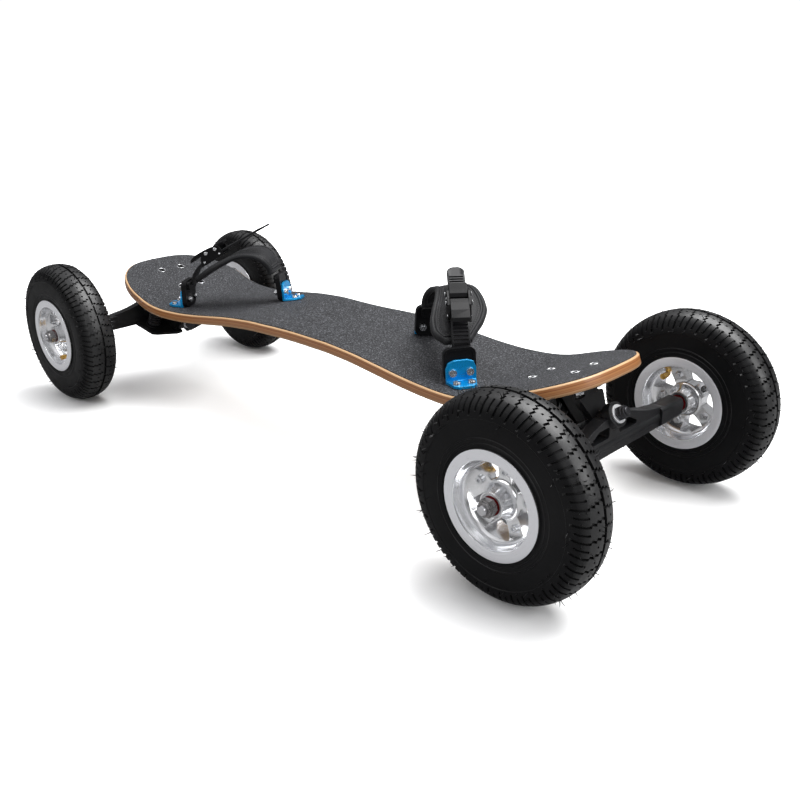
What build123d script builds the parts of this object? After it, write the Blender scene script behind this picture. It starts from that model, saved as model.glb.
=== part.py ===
from build123d import *
from math import sin, cos, atan2, radians, sqrt, hypot
import os

# Off-road board with a maple deck, two sprung trucks, four pneumatic wheels and two
# ratchet foot bindings.  Millimetres.  +X points to the front, +Y to the left, +Z up.
# The origin is on the ground below the middle of the deck.

os.makedirs("parts", exist_ok=True)

# ------------------------------------------------------------------ shared dimensions
WHEELBASE_HALF = 405.7          # axle distance from the middle
TRACK_HALF = 162.0              # tyre mid-plane distance from the centreline
TYRE_R = 100.0
AXLE_Z = TYRE_R
AXLE_R = 5.0
AXLE_HALF = 199.5
HUB_FACE = 24.0                 # hub's end face, from the tyre mid-plane
RUN_CLEARANCE = 0.03            # radial, between turning pieces

DECK_HALF = 412.3
WOOD_T = 12.0
GRIP_T = 1.0
DECK_T = WOOD_T + GRIP_T
GRIP_INSET = 2.2                # grip edge inside the wood's edge
TIP_SLOPE = 0.3213              # rise of the straight tips
TIP_X0, TIP_Z0 = 310.0, 149.8   # start of the straight tip, on top of the grip
FLAT_X, FLAT_Z = 62.0, 157.4    # end of the flat middle, on top of the grip
TIP_ANGLE = atan2(TIP_SLOPE, 1.0)

TRUCK_X = 348.0                 # centre of the truck bolt pattern
BOLT_DX = 54.0                  # spacing along the tip
BOLT_DY = 33.0                  # spacing across
BOLT_R = 2.45                   # shank of the deck bolts and of the binding screws
PLATE_T = 5.0                   # truck plate
PLATE_GAP = 0.03                # between the deck and the truck plate
BOLT_SPOTS = [(sx * BOLT_DX / 2, sy * BOLT_DY / 2) for sx in (-1, 1) for sy in (-1, 1)]


def ring(outer, inner):
    """flat ring, drawn in the sketch that is open"""
    Circle(outer)
    Circle(inner, mode=Mode.SUBTRACT)


def save(name, part):
    part.label = name
    export_step(part, f"parts/{name}.step")


# ------------------------------------------------------------------ deck shape
# top of the grip between the flat middle and the straight tip: (x, z)
TOP_KNOTS = [(FLAT_X, FLAT_Z), (80, 156.9), (120, 154.2), (160, 149.6), (200, 144.9),
             (240, 142.3), (280, 143.4), (TIP_X0, TIP_Z0)]
# outline of the deck in plan: (x, half-width)
HALF_WIDTHS = [(0, 76.9), (60, 79.6), (120, 82.3), (180, 84.7), (230, 87.1), (270, 90.2),
               (300, 92.0), (325, 91.9), (345, 89.6), (365, 83.4), (380, 75.8), (392, 66.4),
               (401, 55.4), (407, 43.8), (411, 27.0)]
TIP_OVERRUN = 12                # side curve runs on past the deck's end before it is cut


def knot_slope(i):
    if i == 0:
        return 0.0
    if i == len(TOP_KNOTS) - 1:
        return TIP_SLOPE
    (xa, za), (xb, zb) = TOP_KNOTS[i - 1], TOP_KNOTS[i + 1]
    return (zb - za) / (xb - xa)


def side_curve(depth):
    """knots and front end of the deck's side curve, moved down along its normal by depth"""
    knots = []
    for i, (x, z) in enumerate(TOP_KNOTS):
        slope = knot_slope(i)
        length = sqrt(1 + slope * slope)
        knots.append((x + depth * slope / length, z - depth / length))
    x_end = DECK_HALF + TIP_OVERRUN
    z_end = knots[-1][1] + TIP_SLOPE * (x_end - knots[-1][0])
    return knots, (x_end, z_end)


def draw_side_curve(knots, end):
    """side curve from the middle to the front end, drawn in the line builder that is open"""
    Line((0, knots[0][1]), knots[0])
    Spline(*knots, tangents=[(1, 0), (1, TIP_SLOPE)])
    Line(knots[-1], end)


def deck_top(x):
    """height and slope of the grip's top between the flat middle and the straight tip"""
    for i, ((xa, za), (xb, zb)) in enumerate(zip(TOP_KNOTS, TOP_KNOTS[1:])):
        if xa <= x <= xb:
            ma, mb = knot_slope(i), knot_slope(i + 1)
            h = xb - xa
            t = (x - xa) / h
            z = ((2*t**3 - 3*t*t + 1) * za + (t**3 - 2*t*t + t) * h * ma
                 + (-2*t**3 + 3*t*t) * zb + (t**3 - t*t) * h * mb)
            slope = ((6*t*t - 6*t) * za / h + (3*t*t - 4*t + 1) * ma
                     + (6*t - 6*t*t) * zb / h + (3*t*t - 2*t) * mb)
            return z, slope


def tip_plane(height, end=1):
    """plane of the front (end=1) or rear (end=-1) tip, height above the wood's underside;
    local x runs up the slope, the normal points up"""
    above_top = height - DECK_T
    x = TRUCK_X - above_top * sin(TIP_ANGLE)
    z = TIP_Z0 + TIP_SLOPE * (TRUCK_X - TIP_X0) + above_top * cos(TIP_ANGLE)
    return Plane(origin=(end * x, 0, z), x_dir=(end * cos(TIP_ANGLE), 0, sin(TIP_ANGLE)),
                 z_dir=(-end * sin(TIP_ANGLE), 0, cos(TIP_ANGLE)))


# ------------------------------------------------------------------ binding frames
# The bindings are built for the front foot and mirrored for the rear one.  Each strap runs
# from the right bracket to the left one; s is the distance along it, n is square to it.
BIND_ANGLE = atan2(0.558, 0.830)
RIGHT_X, RIGHT_Y = 256.0, -52.0         # fold of the right bracket
BRACKET_SPAN = 147.0                    # to the fold of the left bracket
S_DIR = Vector(-cos(BIND_ANGLE), sin(BIND_ANGLE), 0)
N_DIR = Vector(sin(BIND_ANGLE), cos(BIND_ANGLE), 0)
FOOT_SCREWS = [(-15.0, -8.0), (-15.0, 8.0)]             # in the bracket's frame
PLATE_SCREWS = [(-9.3, 12.0), (9.3, 12.0)]              # in the frame of its upright


def strap_plane(n):
    """upright plane along the strap, n towards the tip of the board; local x is s, y is up"""
    origin = Vector(RIGHT_X, RIGHT_Y, 0) + N_DIR * n
    return Plane(origin=(origin.X, origin.Y, 0), x_dir=(S_DIR.X, S_DIR.Y, 0),
                 z_dir=(N_DIR.X, N_DIR.Y, 0))


def bracket_plane(s, away):
    """frame of the bracket at s: origin just above the grip at the fold, local x towards the
    foot, local z up; away is the sign of s pointing away from the foot"""
    level_at = 11                       # distance from the fold where the deck's slope is taken
    lift = 0.6
    z, slope = deck_top(RIGHT_X + S_DIR.X * s + away * S_DIR.X * level_at)
    z_fold = z - slope * (away * S_DIR.X * level_at)
    normal = Vector(-slope, 0, 1).normalized()
    inward = Vector(-away * S_DIR.X, -away * S_DIR.Y, 0)
    inward = (inward - normal * inward.dot(normal)).normalized()
    return Plane(origin=(RIGHT_X + S_DIR.X * s, RIGHT_Y + S_DIR.Y * s, z_fold + lift),
                 x_dir=(inward.X, inward.Y, inward.Z), z_dir=(normal.X, normal.Y, normal.Z))


def across(plane):
    """the same frame on the rear foot"""
    o, x, z = plane.origin, plane.x_dir, plane.z_dir
    return Plane(origin=(-o.X, o.Y, o.Z), x_dir=(-x.X, x.Y, x.Z), z_dir=(-z.X, z.Y, z.Z))


BRACKET_PLANES = [bracket_plane(0.0, -1), bracket_plane(BRACKET_SPAN, 1)]
FOOT_PLANES = [p for front in BRACKET_PLANES for p in (front, across(front))]


def both_feet(front):
    with BuildPart() as pair:
        add(front)
        mirror(front, about=Plane.YZ)
    return pair.part


def for_rear_foot(front):
    with BuildPart() as rear:
        mirror(front, about=Plane.YZ)
    return rear.part


# ------------------------------------------------------------------ deck and grip
def slab(inset):
    """wood and grip in one, with its edge moved in by inset"""
    top, top_end = side_curve(0.0)
    bottom, bottom_end = side_curve(DECK_T)
    with BuildPart() as body:
        with BuildSketch(Plane.XZ.offset(-120)):
            with BuildLine():
                draw_side_curve(top, top_end)
                Line(top_end, bottom_end)
                Line(bottom_end, bottom[-1])
                Spline(*bottom[::-1], tangents=[(-1, -TIP_SLOPE), (-1, 0)])
                Line(bottom[0], (0, bottom[0][1]))
                Line((0, bottom[0][1]), (0, top[0][1]))
            make_face()
        extrude(amount=240)
        mirror(about=Plane.YZ)
        with BuildSketch(Plane.XY.offset(90)):
            with BuildLine():
                half = [(x, y - inset) for x, y in HALF_WIDTHS]
                half[-1] = (half[-1][0] - inset * 0.8, half[-1][1] - inset * 0.5)
                half[-2] = (half[-2][0] - inset * 0.6, half[-2][1] + inset * 0.2)
                left = [(-x, y) for x, y in half[::-1]] + half[1:]
                left_edge = Spline(*left)
                (x_rear, y_rear), (x_front, y_front) = left[0], left[-1]
                run_in, run_out = left_edge % 0, left_edge % 1
                Spline((x_front, y_front), (DECK_HALF - inset, 0), (x_front, -y_front),
                       tangents=[run_out, (-run_out.X, run_out.Y)])
                Spline(*[(x, -y) for x, y in left[::-1]])
                Spline((x_rear, -y_rear), (-DECK_HALF + inset, 0), (x_rear, y_rear),
                       tangents=[(-run_out.X, -run_out.Y), run_in])
            make_face()
        extrude(amount=120, mode=Mode.INTERSECT)
    return body.part


def above_wood():
    """everything above the face where grip and wood meet"""
    knots, end = side_curve(GRIP_T)
    with BuildPart() as space:
        with BuildSketch(Plane.XZ.offset(-130)):
            with BuildLine():
                draw_side_curve(knots, end)
                Polyline(end, (end[0], 240), (0, 240), (0, knots[0][1]))
            make_face()
        extrude(amount=260)
        mirror(about=Plane.YZ)
    return space.part


def deck(grip_space):
    bolt_hole_r = 2.6
    sink_r, sink_end_r, sink_depth = 5.4, 2.62, 3.9
    screw_hole_r, screw_hole_depth = 2.55, 11.5
    with BuildPart() as wood:
        add(slab(0.0))
        add(grip_space, mode=Mode.SUBTRACT)
        for end in (1, -1):
            with BuildSketch(tip_plane(-3, end)):
                with Locations(*BOLT_SPOTS):
                    Circle(bolt_hole_r)
            extrude(amount=24, mode=Mode.SUBTRACT)
            # countersinks
            for spot in BOLT_SPOTS:
                with BuildSketch(tip_plane(DECK_T, end)):
                    with Locations(spot):
                        Circle(sink_r)
                with BuildSketch(tip_plane(DECK_T - sink_depth, end)):
                    with Locations(spot):
                        Circle(sink_end_r)
                loft(mode=Mode.SUBTRACT)
        for plane in FOOT_PLANES:
            with BuildSketch(plane):
                with Locations(*FOOT_SCREWS):
                    Circle(screw_hole_r)
            extrude(amount=-screw_hole_depth, mode=Mode.SUBTRACT)
    return wood.part


def grip_tape(grip_space):
    bolt_hole_r, screw_hole_r = 5.6, 2.6
    with BuildPart() as grip:
        add(slab(GRIP_INSET))
        add(grip_space, mode=Mode.INTERSECT)
        for end in (1, -1):
            with BuildSketch(tip_plane(5, end)):
                with Locations(*BOLT_SPOTS):
                    Circle(bolt_hole_r)
            extrude(amount=14, mode=Mode.SUBTRACT)
        for plane in FOOT_PLANES:
            with BuildSketch(plane.offset(3)):
                with Locations(*FOOT_SCREWS):
                    Circle(screw_hole_r)
            extrude(amount=-8, mode=Mode.SUBTRACT)
    return grip.part


# ------------------------------------------------------------------ deck bolts and nuts
def deck_bolts():
    """countersunk bolts of both trucks"""
    head_r, head_h, shank_from = 5.15, 3.6, 3.0
    below_plate = 6.0
    with BuildPart() as bolts:
        for end in (1, -1):
            for spot in BOLT_SPOTS:
                with BuildSketch(tip_plane(DECK_T - 0.1, end)):
                    with Locations(spot):
                        Circle(head_r)
                with BuildSketch(tip_plane(DECK_T - head_h, end)):
                    with Locations(spot):
                        Circle(BOLT_R)
                loft()
                with BuildSketch(tip_plane(DECK_T - shank_from, end)):
                    with Locations(spot):
                        Circle(BOLT_R)
                extrude(amount=-(DECK_T - shank_from + PLATE_T + below_plate))
                # hex socket
                with BuildSketch(tip_plane(DECK_T + 0.2, end)):
                    with Locations(spot):
                        RegularPolygon(3.0, 6)
                extrude(amount=-2.2, mode=Mode.SUBTRACT)
    return bolts.part


def deck_nuts():
    flat_r, nut_h = 4.0, 5.0
    with BuildPart() as nuts:
        for end in (1, -1):
            with BuildSketch(tip_plane(-PLATE_GAP - PLATE_T - 0.1, end)):
                with Locations(*BOLT_SPOTS):
                    RegularPolygon(flat_r, 6, major_radius=False)
                with Locations(*BOLT_SPOTS):
                    Circle(BOLT_R + 0.02, mode=Mode.SUBTRACT)
            extrude(amount=-nut_h)
    return nuts.part


# ------------------------------------------------------------------ truck frame
# Both trucks are the front one; the rear one is turned half a turn.  Places on a truck are
# given along the kingpin, from its outer end and positive outwards, and above it.
KINGPIN_X, KINGPIN_Z = 414.0, 131.0     # outer end of the pivot
KINGPIN_TILT = 30.0                     # from horizontal, rising outwards
KINGPIN_R = 4.0
TILT_COS, TILT_SIN = cos(radians(KINGPIN_TILT)), sin(radians(KINGPIN_TILT))

# ears on the kingpin: inner and outer face along it
BASE_EAR_OUTER = (-28.0, -20.0)
BASE_EAR_INNER = (-72.0, -65.0)
HANGER_EAR_OUTER = (-9.0, 0.0)
HANGER_EAR_INNER = (-82.0, -74.0)
YOKE_LOW, YOKE_HIGH = 1.0, 5.5          # faces of the yoke, above the kingpin
SPRING_Y = 35.0
SPRING_ALONG = -46.0
SEAT_ABOVE = -21.8                      # top of the spring seats
BUSH_R = 7.5


def kingpin_xz(along, above=0.0):
    return (KINGPIN_X + along * TILT_COS - above * TILT_SIN,
            KINGPIN_Z + along * TILT_SIN + above * TILT_COS)


def kingpin_plane(along):
    """plane square to the kingpin; local x is +Y, local y is above, normal outwards"""
    x, z = kingpin_xz(along)
    return Plane(origin=(x, 0, z), x_dir=(0, 1, 0), z_dir=(TILT_COS, 0, TILT_SIN))


def level_plane(above, along=0, y=0):
    """plane parallel to the kingpin and the axle; local x is along, normal is above"""
    x, z = kingpin_xz(along, above)
    return Plane(origin=(x, y, z), x_dir=(TILT_COS, 0, TILT_SIN),
                 z_dir=(-TILT_SIN, 0, TILT_COS))


# ------------------------------------------------------------------ truck pieces
def truck_base():
    """plate, two ears, and a yoke between them with a wing over each spring"""
    ear_top = 62                        # reaches past the plate, trimmed later
    ear_root_r, ear_neck = 11, 10.5
    outer_in, inner_out = BASE_EAR_OUTER[0], BASE_EAR_INNER[1]     # facing faces of the ears
    # right half of the yoke, then its left half: (along, y)
    yoke = [(inner_out - 2, -17), (-61, -17), (-56, -44), (-52, -47), (-40, -47), (-36, -44),
            (outer_in + 2, -19), (outer_in + 2, 19), (-36, 44), (-40, 47), (-52, 47),
            (-56, 44), (-61, 17), (inner_out - 2, 17), (inner_out - 2, -17)]
    # gussets from the yoke up to the plate, at the outer and at the inner ear: (along, above)
    gussets = [[(outer_in + 1, YOKE_LOW), (outer_in - 8, YOKE_LOW), (outer_in - 11, 16),
                (outer_in - 20, ear_top), (outer_in + 1, ear_top)],
               [(inner_out - 1, YOKE_LOW), (inner_out + 8, YOKE_LOW), (inner_out + 9, 14),
                (inner_out + 18, 52), (inner_out - 1, ear_top)]]
    gusset_in, gusset_out = 12.0, 17.0  # distance of their faces from the centreline
    with BuildPart() as base:
        with BuildSketch(tip_plane(-PLATE_GAP)):
            RectangleRounded(84, 54, 9)
        extrude(amount=-PLATE_T)
        # ears, wide at the plate and round at the kingpin
        for (start, stop), half_w in ((BASE_EAR_OUTER, 20), (BASE_EAR_INNER, 18)):
            with BuildSketch(kingpin_plane(start)):
                with BuildLine():
                    Polyline((-ear_neck, 0), (-half_w, 24), (-half_w - 3, ear_top),
                             (half_w + 3, ear_top), (half_w, 24), (ear_neck, 0),
                             (-ear_neck, 0))
                make_face()
                Circle(ear_root_r)
            extrude(amount=stop - start)
        with BuildSketch(level_plane(YOKE_LOW)):
            with BuildLine():
                Polyline(*yoke)
            make_face()
        extrude(amount=YOKE_HIGH - YOKE_LOW)
        # window in the yoke for the kingpin
        with BuildSketch(level_plane(-14)):
            with Locations((0.5 * (inner_out + outer_in), 0)):
                Rectangle(outer_in - inner_out, 16)
        extrude(amount=28, mode=Mode.SUBTRACT)
        # left gussets, then right ones
        for offset in (-gusset_out, gusset_in):
            with BuildSketch(Plane.XZ.offset(offset)):
                for gusset in gussets:
                    with BuildLine():
                        outline = [kingpin_xz(*p) for p in gusset]
                        Polyline(*outline, outline[0])
                    make_face()
            extrude(amount=gusset_out - gusset_in)
        # everything above the plate's top face
        with BuildSketch(tip_plane(-PLATE_GAP)):
            Rectangle(260, 200)
        extrude(amount=120, mode=Mode.SUBTRACT)
        # kingpin bore, bolt holes and room for the nuts
        with BuildSketch(kingpin_plane(-90)):
            Circle(KINGPIN_R + 0.05)
        extrude(amount=100, mode=Mode.SUBTRACT)
        with BuildSketch(tip_plane(5)):
            with Locations(*BOLT_SPOTS):
                Circle(2.7)
        extrude(amount=-14, mode=Mode.SUBTRACT)
        with BuildSketch(tip_plane(-PLATE_GAP - PLATE_T)):
            with Locations(*BOLT_SPOTS):
                Circle(6.2)
        extrude(amount=-9, mode=Mode.SUBTRACT)
    return base.part


def hanger():
    """axle housing, web and eye, and a tray with a tail that carries the springs"""
    housing_size = 20.0                             # square, across the flats
    housing_in, housing_out, nose_out = 88, 131, 133.5      # along y
    sleeve_half = TRACK_HALF - HUB_FACE - 0.1       # up to the inner bearing face
    web_x, web_t = 398.6, 13.0
    # left half of the web: (y, z)
    web_half = [(0, 89), (96, 89), (104, 92), (104, 108), (92, 111), (80, 112.5), (65, 115),
                (50, 119), (36, 123.5), (20, 128), (0, 128)]
    eye_r = 13.0
    # tray's outer and inner edge: (x, z)
    tray_outer, tray_inner = (404.0, 91.0), (366.0, 75.0)
    tray_t = 4
    tray_dx, tray_dz = tray_outer[0] - tray_inner[0], tray_outer[1] - tray_inner[1]
    tray_len = hypot(tray_dx, tray_dz)
    tray_tilt = atan2(tray_dz, tray_dx)
    tray_plane = Plane(origin=(tray_outer[0], 0, tray_outer[1]),
                       x_dir=(cos(tray_tilt), 0, sin(tray_tilt)),
                       z_dir=(-sin(tray_tilt), 0, cos(tray_tilt)))
    ear_in, ear_out = HANGER_EAR_INNER
    tail = [kingpin_xz(ear_in), kingpin_xz(ear_in, -10), tray_inner, (385.0, 83.0),
            (383.5, 86.6), kingpin_xz(ear_out, -17.5), kingpin_xz(ear_out),
            kingpin_xz(ear_in)]

    with BuildPart() as body:
        # square housing towards each wheel, with a round nose at its end
        for offset in (-housing_out, housing_in):
            with BuildSketch(Plane.XZ.offset(offset)):
                with Locations((WHEELBASE_HALF - 0.5, AXLE_Z)):
                    RectangleRounded(housing_size, housing_size, 3.5)
            extrude(amount=housing_out - housing_in)
        for offset in (-nose_out, housing_out):
            with BuildSketch(Plane.XZ.offset(offset)):
                with Locations((WHEELBASE_HALF, AXLE_Z)):
                    Circle(9.0)
            extrude(amount=nose_out - housing_out)
        with BuildSketch(Plane.XZ.offset(-sleeve_half)):
            with Locations((WHEELBASE_HALF, AXLE_Z)):
                Circle(7.2)
        extrude(amount=2 * sleeve_half)
        # flat web with two windows, its top edge sweeping up to the eye
        with BuildSketch(Plane(origin=(web_x, 0, 0), x_dir=(0, 1, 0), z_dir=(1, 0, 0))):
            with BuildLine():
                Polyline(*(web_half + [(-y, z) for y, z in web_half[::-1]][1:]))
            make_face()
            for sy in (1, -1):
                with BuildLine(mode=Mode.PRIVATE) as window_line:
                    Polyline((sy * 9, 107.6), (sy * 50, 107.6), (sy * 27, 119.5),
                             (sy * 9, 119.5), (sy * 9, 107.6))
                with BuildSketch(mode=Mode.PRIVATE) as window:
                    add(window_line.line)
                    make_face()
                    fillet(window.vertices(), 2.6)
                add(window.sketch, mode=Mode.SUBTRACT)
        extrude(amount=web_t)
        # eye
        with BuildSketch(kingpin_plane(HANGER_EAR_OUTER[0])):
            Circle(eye_r)
        extrude(amount=HANGER_EAR_OUTER[1] - HANGER_EAR_OUTER[0])
        # tray below the kingpin
        with BuildSketch(tray_plane):
            with BuildLine():
                Polyline((0, -60), (-tray_len + 4, -50), (-tray_len, -44), (-tray_len, 44),
                         (-tray_len + 4, 50), (0, 60), (0, -60))
            make_face()
        extrude(amount=tray_t)
        # tail rising from the tray to the inner ear
        with BuildSketch(Plane.XZ.offset(-14)):
            with BuildLine():
                Polyline(*tail)
            make_face()
        extrude(amount=28)
        with BuildSketch(kingpin_plane(ear_in)):
            Circle(12)
        extrude(amount=ear_out - ear_in)
        for sy in (1, -1):
            # the tail narrows in plan towards the ear
            with BuildSketch(Plane.XY.offset(60)):
                with BuildLine():
                    Polyline((330, sy * 9.0), (346, sy * 11.0), (358, sy * 25.0),
                             (330, sy * 25.0), (330, sy * 9.0))
                make_face()
            extrude(amount=27, mode=Mode.SUBTRACT)
            # side web joining the tray's edge to the tail
            with BuildSketch(tray_plane):
                with BuildLine():
                    Polyline((-tray_len, sy * 44), (-tray_len - 9, sy * 14),
                             (-tray_len - 9, sy * 4), (-tray_len + 3, sy * 4),
                             (-tray_len + 3, sy * 44), (-tray_len, sy * 44))
                make_face()
            extrude(amount=tray_t)
            # spring seat with a centring boss
            seat_plane = level_plane(SEAT_ABOVE, SPRING_ALONG, sy * SPRING_Y)
            with BuildSketch(seat_plane):
                Circle(11.5)
            extrude(amount=-6)
            with BuildSketch(seat_plane):
                Circle(5.6)
            extrude(amount=2.5)
        # room for the base ears, the washer and nut, and the bushes
        with BuildSketch(kingpin_plane(ear_out)):
            Circle(12.2)
        extrude(amount=HANGER_EAR_OUTER[0] - ear_out, mode=Mode.SUBTRACT)
        with BuildSketch(kingpin_plane(HANGER_EAR_OUTER[1])):
            Circle(eye_r)
        extrude(amount=14, mode=Mode.SUBTRACT)
        with BuildSketch(kingpin_plane(-95)):
            Circle(BUSH_R)
        extrude(amount=120, mode=Mode.SUBTRACT)
        # axle bore
        with BuildSketch(Plane.XZ.offset(-200)):
            with Locations((WHEELBASE_HALF, AXLE_Z)):
                Circle(AXLE_R + 0.01)
        extrude(amount=400, mode=Mode.SUBTRACT)
    return body.part


def axle():
    with BuildPart() as rod:
        with BuildSketch(Plane.XZ.offset(-AXLE_HALF)):
            with Locations((WHEELBASE_HALF, AXLE_Z)):
                Circle(AXLE_R)
        extrude(amount=2 * AXLE_HALF)
        chamfer(rod.edges().filter_by(GeomType.CIRCLE), 0.8)
    return rod.part


def kingpin():
    """bolt with its hex head at the inner end"""
    with BuildPart() as bolt:
        with BuildSketch(kingpin_plane(-91.0)):
            RegularPolygon(6.5, 6, major_radius=False)
        extrude(amount=6.4)
        with BuildSketch(kingpin_plane(-85.0)):
            Circle(KINGPIN_R)
        extrude(amount=98.0)
        chamfer(bolt.edges().filter_by(GeomType.CIRCLE).sort_by(Axis.X)[-1], 0.8)
    return bolt.part


def kingpin_nut():
    """hex nut with a round collar"""
    start, hex_h, collar_h = 2.1, 6.0, 3.0
    bore_r = KINGPIN_R + 0.01
    with BuildPart() as nut:
        with BuildSketch(kingpin_plane(start)):
            RegularPolygon(6.5, 6, major_radius=False)
            Circle(bore_r, mode=Mode.SUBTRACT)
        extrude(amount=hex_h)
        with BuildSketch(kingpin_plane(start + hex_h)):
            ring(5.7, bore_r)
        extrude(amount=collar_h)
    return nut.part


def kingpin_washers():
    with BuildPart() as washers:
        for start in (0.05, -84.55):
            with BuildSketch(kingpin_plane(start)):
                ring(9.6, KINGPIN_R + 0.02)
            extrude(amount=2.0)
    return washers.part


def pivot_bushes():
    """sleeves in the hanger's ears, and rings between the hanger's and the base's ears"""
    sleeve_r, ring_r = BUSH_R - 0.02, 9.2
    # (from, to, radius, gap at each end)
    stations = [(*HANGER_EAR_OUTER, sleeve_r, 0.3),
                (*HANGER_EAR_INNER, sleeve_r, 0.3),
                (BASE_EAR_OUTER[1], HANGER_EAR_OUTER[0], ring_r, 0.15),
                (HANGER_EAR_INNER[1], BASE_EAR_INNER[0], ring_r, 0.15)]
    with BuildPart() as bushes:
        for start, stop, radius, gap in stations:
            with BuildSketch(kingpin_plane(start + gap)):
                ring(radius, KINGPIN_R + RUN_CLEARANCE)
            extrude(amount=stop - start - 2 * gap)
    return bushes.part


def springs():
    """coil springs between the hanger's seats and the yoke's wings"""
    wire_r, coil_r, turns = 1.4, 8.4, 3.6
    end_gap = 0.2
    height = YOKE_LOW - SEAT_ABOVE - 2 * wire_r - 2 * end_gap
    coils = []
    for sy in (1, -1):
        foot = level_plane(SEAT_ABOVE + wire_r + end_gap, SPRING_ALONG, sy * SPRING_Y)
        coils.append(foot.location * Helix(pitch=height / turns, height=height, radius=coil_r))
    with BuildPart() as pair:
        for coil in coils:
            with BuildSketch(Plane(origin=coil @ 0, z_dir=coil % 0)):
                Circle(wire_r)
            sweep(path=coil)
    return pair.part


def axle_nuts():
    """washer, hex and round collar at each end of the axle"""
    washer_t, hex_h, collar_h = 1.6, 6.2, 2.6
    bore_r = AXLE_R + 0.02
    with BuildPart() as nuts:
        for sy in (1, -1):
            seat = Plane(origin=(WHEELBASE_HALF, sy * (TRACK_HALF + HUB_FACE + 0.1), AXLE_Z),
                         x_dir=(1, 0, 0), z_dir=(0, sy, 0))
            with BuildSketch(seat):
                ring(7.4, bore_r)
            extrude(amount=washer_t)
            with BuildSketch(seat.offset(washer_t)):
                RegularPolygon(8.0, 6, major_radius=False)
                Circle(bore_r, mode=Mode.SUBTRACT)
            extrude(amount=hex_h)
            with BuildSketch(seat.offset(washer_t + hex_h)):
                ring(7.0, bore_r)
            extrude(amount=collar_h)
    return nuts.part


def turned_to_rear(front):
    turned = front.rotate(Axis.Z, 180)
    with BuildPart() as rear:
        add(turned)
    return rear.part


# ------------------------------------------------------------------ wheels
# Distances t are from the tyre mid-plane, positive outboard.
TYRE_HALF_W = 26.0
BEAD_T = 24.0                   # outer face of the tyre's bead
RIM_FLANGE_R = 52.4
RIM_FLANGE_T = 26.7             # flange face
RIM_RING_IN = 42.0
HUB_R = 14.0
HUB_BORE_R = 6.5
BEARING_R = 11.0
BEARING_W = 6.0
SPOKES = 5
DISC_T = 7.0                    # spoke thickness of each rim half
SPOKE_BOLT_PITCH_R = 27.5
VALVE_T = 9.0                   # valve stem, from the mid-plane


class Wheel:
    """place and frames of one wheel.  Angles run from +X towards +Z, in degrees."""

    def __init__(self, x, side, window_angle, valve_angle, valve_half):
        self.side = side                        # 1 left, -1 right
        self.window_angle = window_angle        # middle of the first rim window
        self.valve_half = valve_half            # 1 outboard, -1 inboard
        self.centre = Vector(x, side * TRACK_HALF, AXLE_Z)
        self.axis = Axis((x, side * TRACK_HALF, AXLE_Z), (0, 1, 0))
        # local x outboard, local y radial
        self.section = Plane(origin=self.centre, x_dir=(0, side, 0), z_dir=(side, 0, 0))
        angle = radians(valve_angle)
        self.valve_radial = Vector(cos(angle), 0, sin(angle))
        self.valve_sideways = Vector(0, side * valve_half, 0)

    def face(self, t):
        """plane square to the axle, facing outboard"""
        return Plane(origin=self.centre + Vector(0, self.side * t, 0),
                     x_dir=(1, 0, 0), z_dir=(0, self.side, 0))

    def local_angle(self, angle):
        return -angle * self.side

    def spoke_bolts(self):
        return PolarLocations(SPOKE_BOLT_PITCH_R, SPOKES,
                              start_angle=self.local_angle(self.window_angle + 180 / SPOKES))


def tyre(wheel):
    # (t, radius) from the bead to the crown
    outside = [(BEAD_T, 52.9), (25.4, 60), (TYRE_HALF_W, 72), (25.4, 82), (22.6, 90.5),
               (17.5, 95.8), (9, 99.2), (0, TYRE_R)]
    # (t, radius) from the inboard bead to the crown
    inside = [(-18.6, 47.6), (-20.0, 55), (-21.2, 72), (-19.6, 84), (-12, 91.6), (0, 93.6)]
    with BuildPart() as body:
        with BuildSketch(wheel.section):
            with BuildLine():
                Spline(*outside, tangents=[(0.35, 1), (-1, 0)])
                Spline(*[(-t, r) for t, r in outside[::-1]], tangents=[(-1, 0), (0.35, -1)])
                Polyline((-BEAD_T, 52.9), (-BEAD_T, 47.6), (-18.6, 47.6))
                Spline(*inside, tangents=[(-0.3, 1), (1, 0)])
                Spline(*[(-t, r) for t, r in inside[::-1]], tangents=[(1, 0), (-0.3, -1)])
                Polyline((18.6, 47.6), (BEAD_T, 47.6), (BEAD_T, 52.9))
            make_face()
        revolve(axis=wheel.axis)
    return body.part


def inner_tube(wheel):
    """hollow ring with a bent valve stem and its cap"""
    half_w, half_h, wall = 18.4, 21.4, 1.6
    stem_r, stem_top, stem_bend, bend_r, stem_run = 2.6, 49.6, 37.0, 4.0, 7.0
    centre, radial, sideways = wheel.centre, wheel.valve_radial, wheel.valve_sideways
    stem_end = stem_bend - bend_r               # radius at which the stem leaves sideways
    with BuildPart() as tube:
        with BuildSketch(wheel.section):
            with Locations((0, 70.0)):
                Ellipse(half_w, half_h)
                Ellipse(half_w - wall, half_h - wall, mode=Mode.SUBTRACT)
        revolve(axis=wheel.axis)
        stem_plane = Plane(origin=centre, x_dir=radial, z_dir=radial.cross(sideways))
        with BuildLine(stem_plane) as stem:
            Line((stem_top, VALVE_T), (stem_bend, VALVE_T))
            bend = JernArc(start=(stem_bend, VALVE_T), tangent=(-1, 0), radius=bend_r,
                           arc_size=-90)
            Line(bend @ 1, (stem_end, VALVE_T + stem_run))
        with BuildSketch(Plane(origin=centre + radial * stem_top + sideways * VALVE_T,
                               z_dir=-radial)):
            Circle(stem_r)
        sweep(path=stem.line)
        tip = centre + radial * stem_end + sideways * (VALVE_T + stem_run)
        with BuildSketch(Plane(origin=tip - sideways * 0.4, z_dir=sideways)):
            Circle(3.4)
        extrude(amount=8.4)
    return tube.part


def polar(radius, angle):
    return (radius * cos(radians(angle)), radius * sin(radians(angle)))


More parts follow.
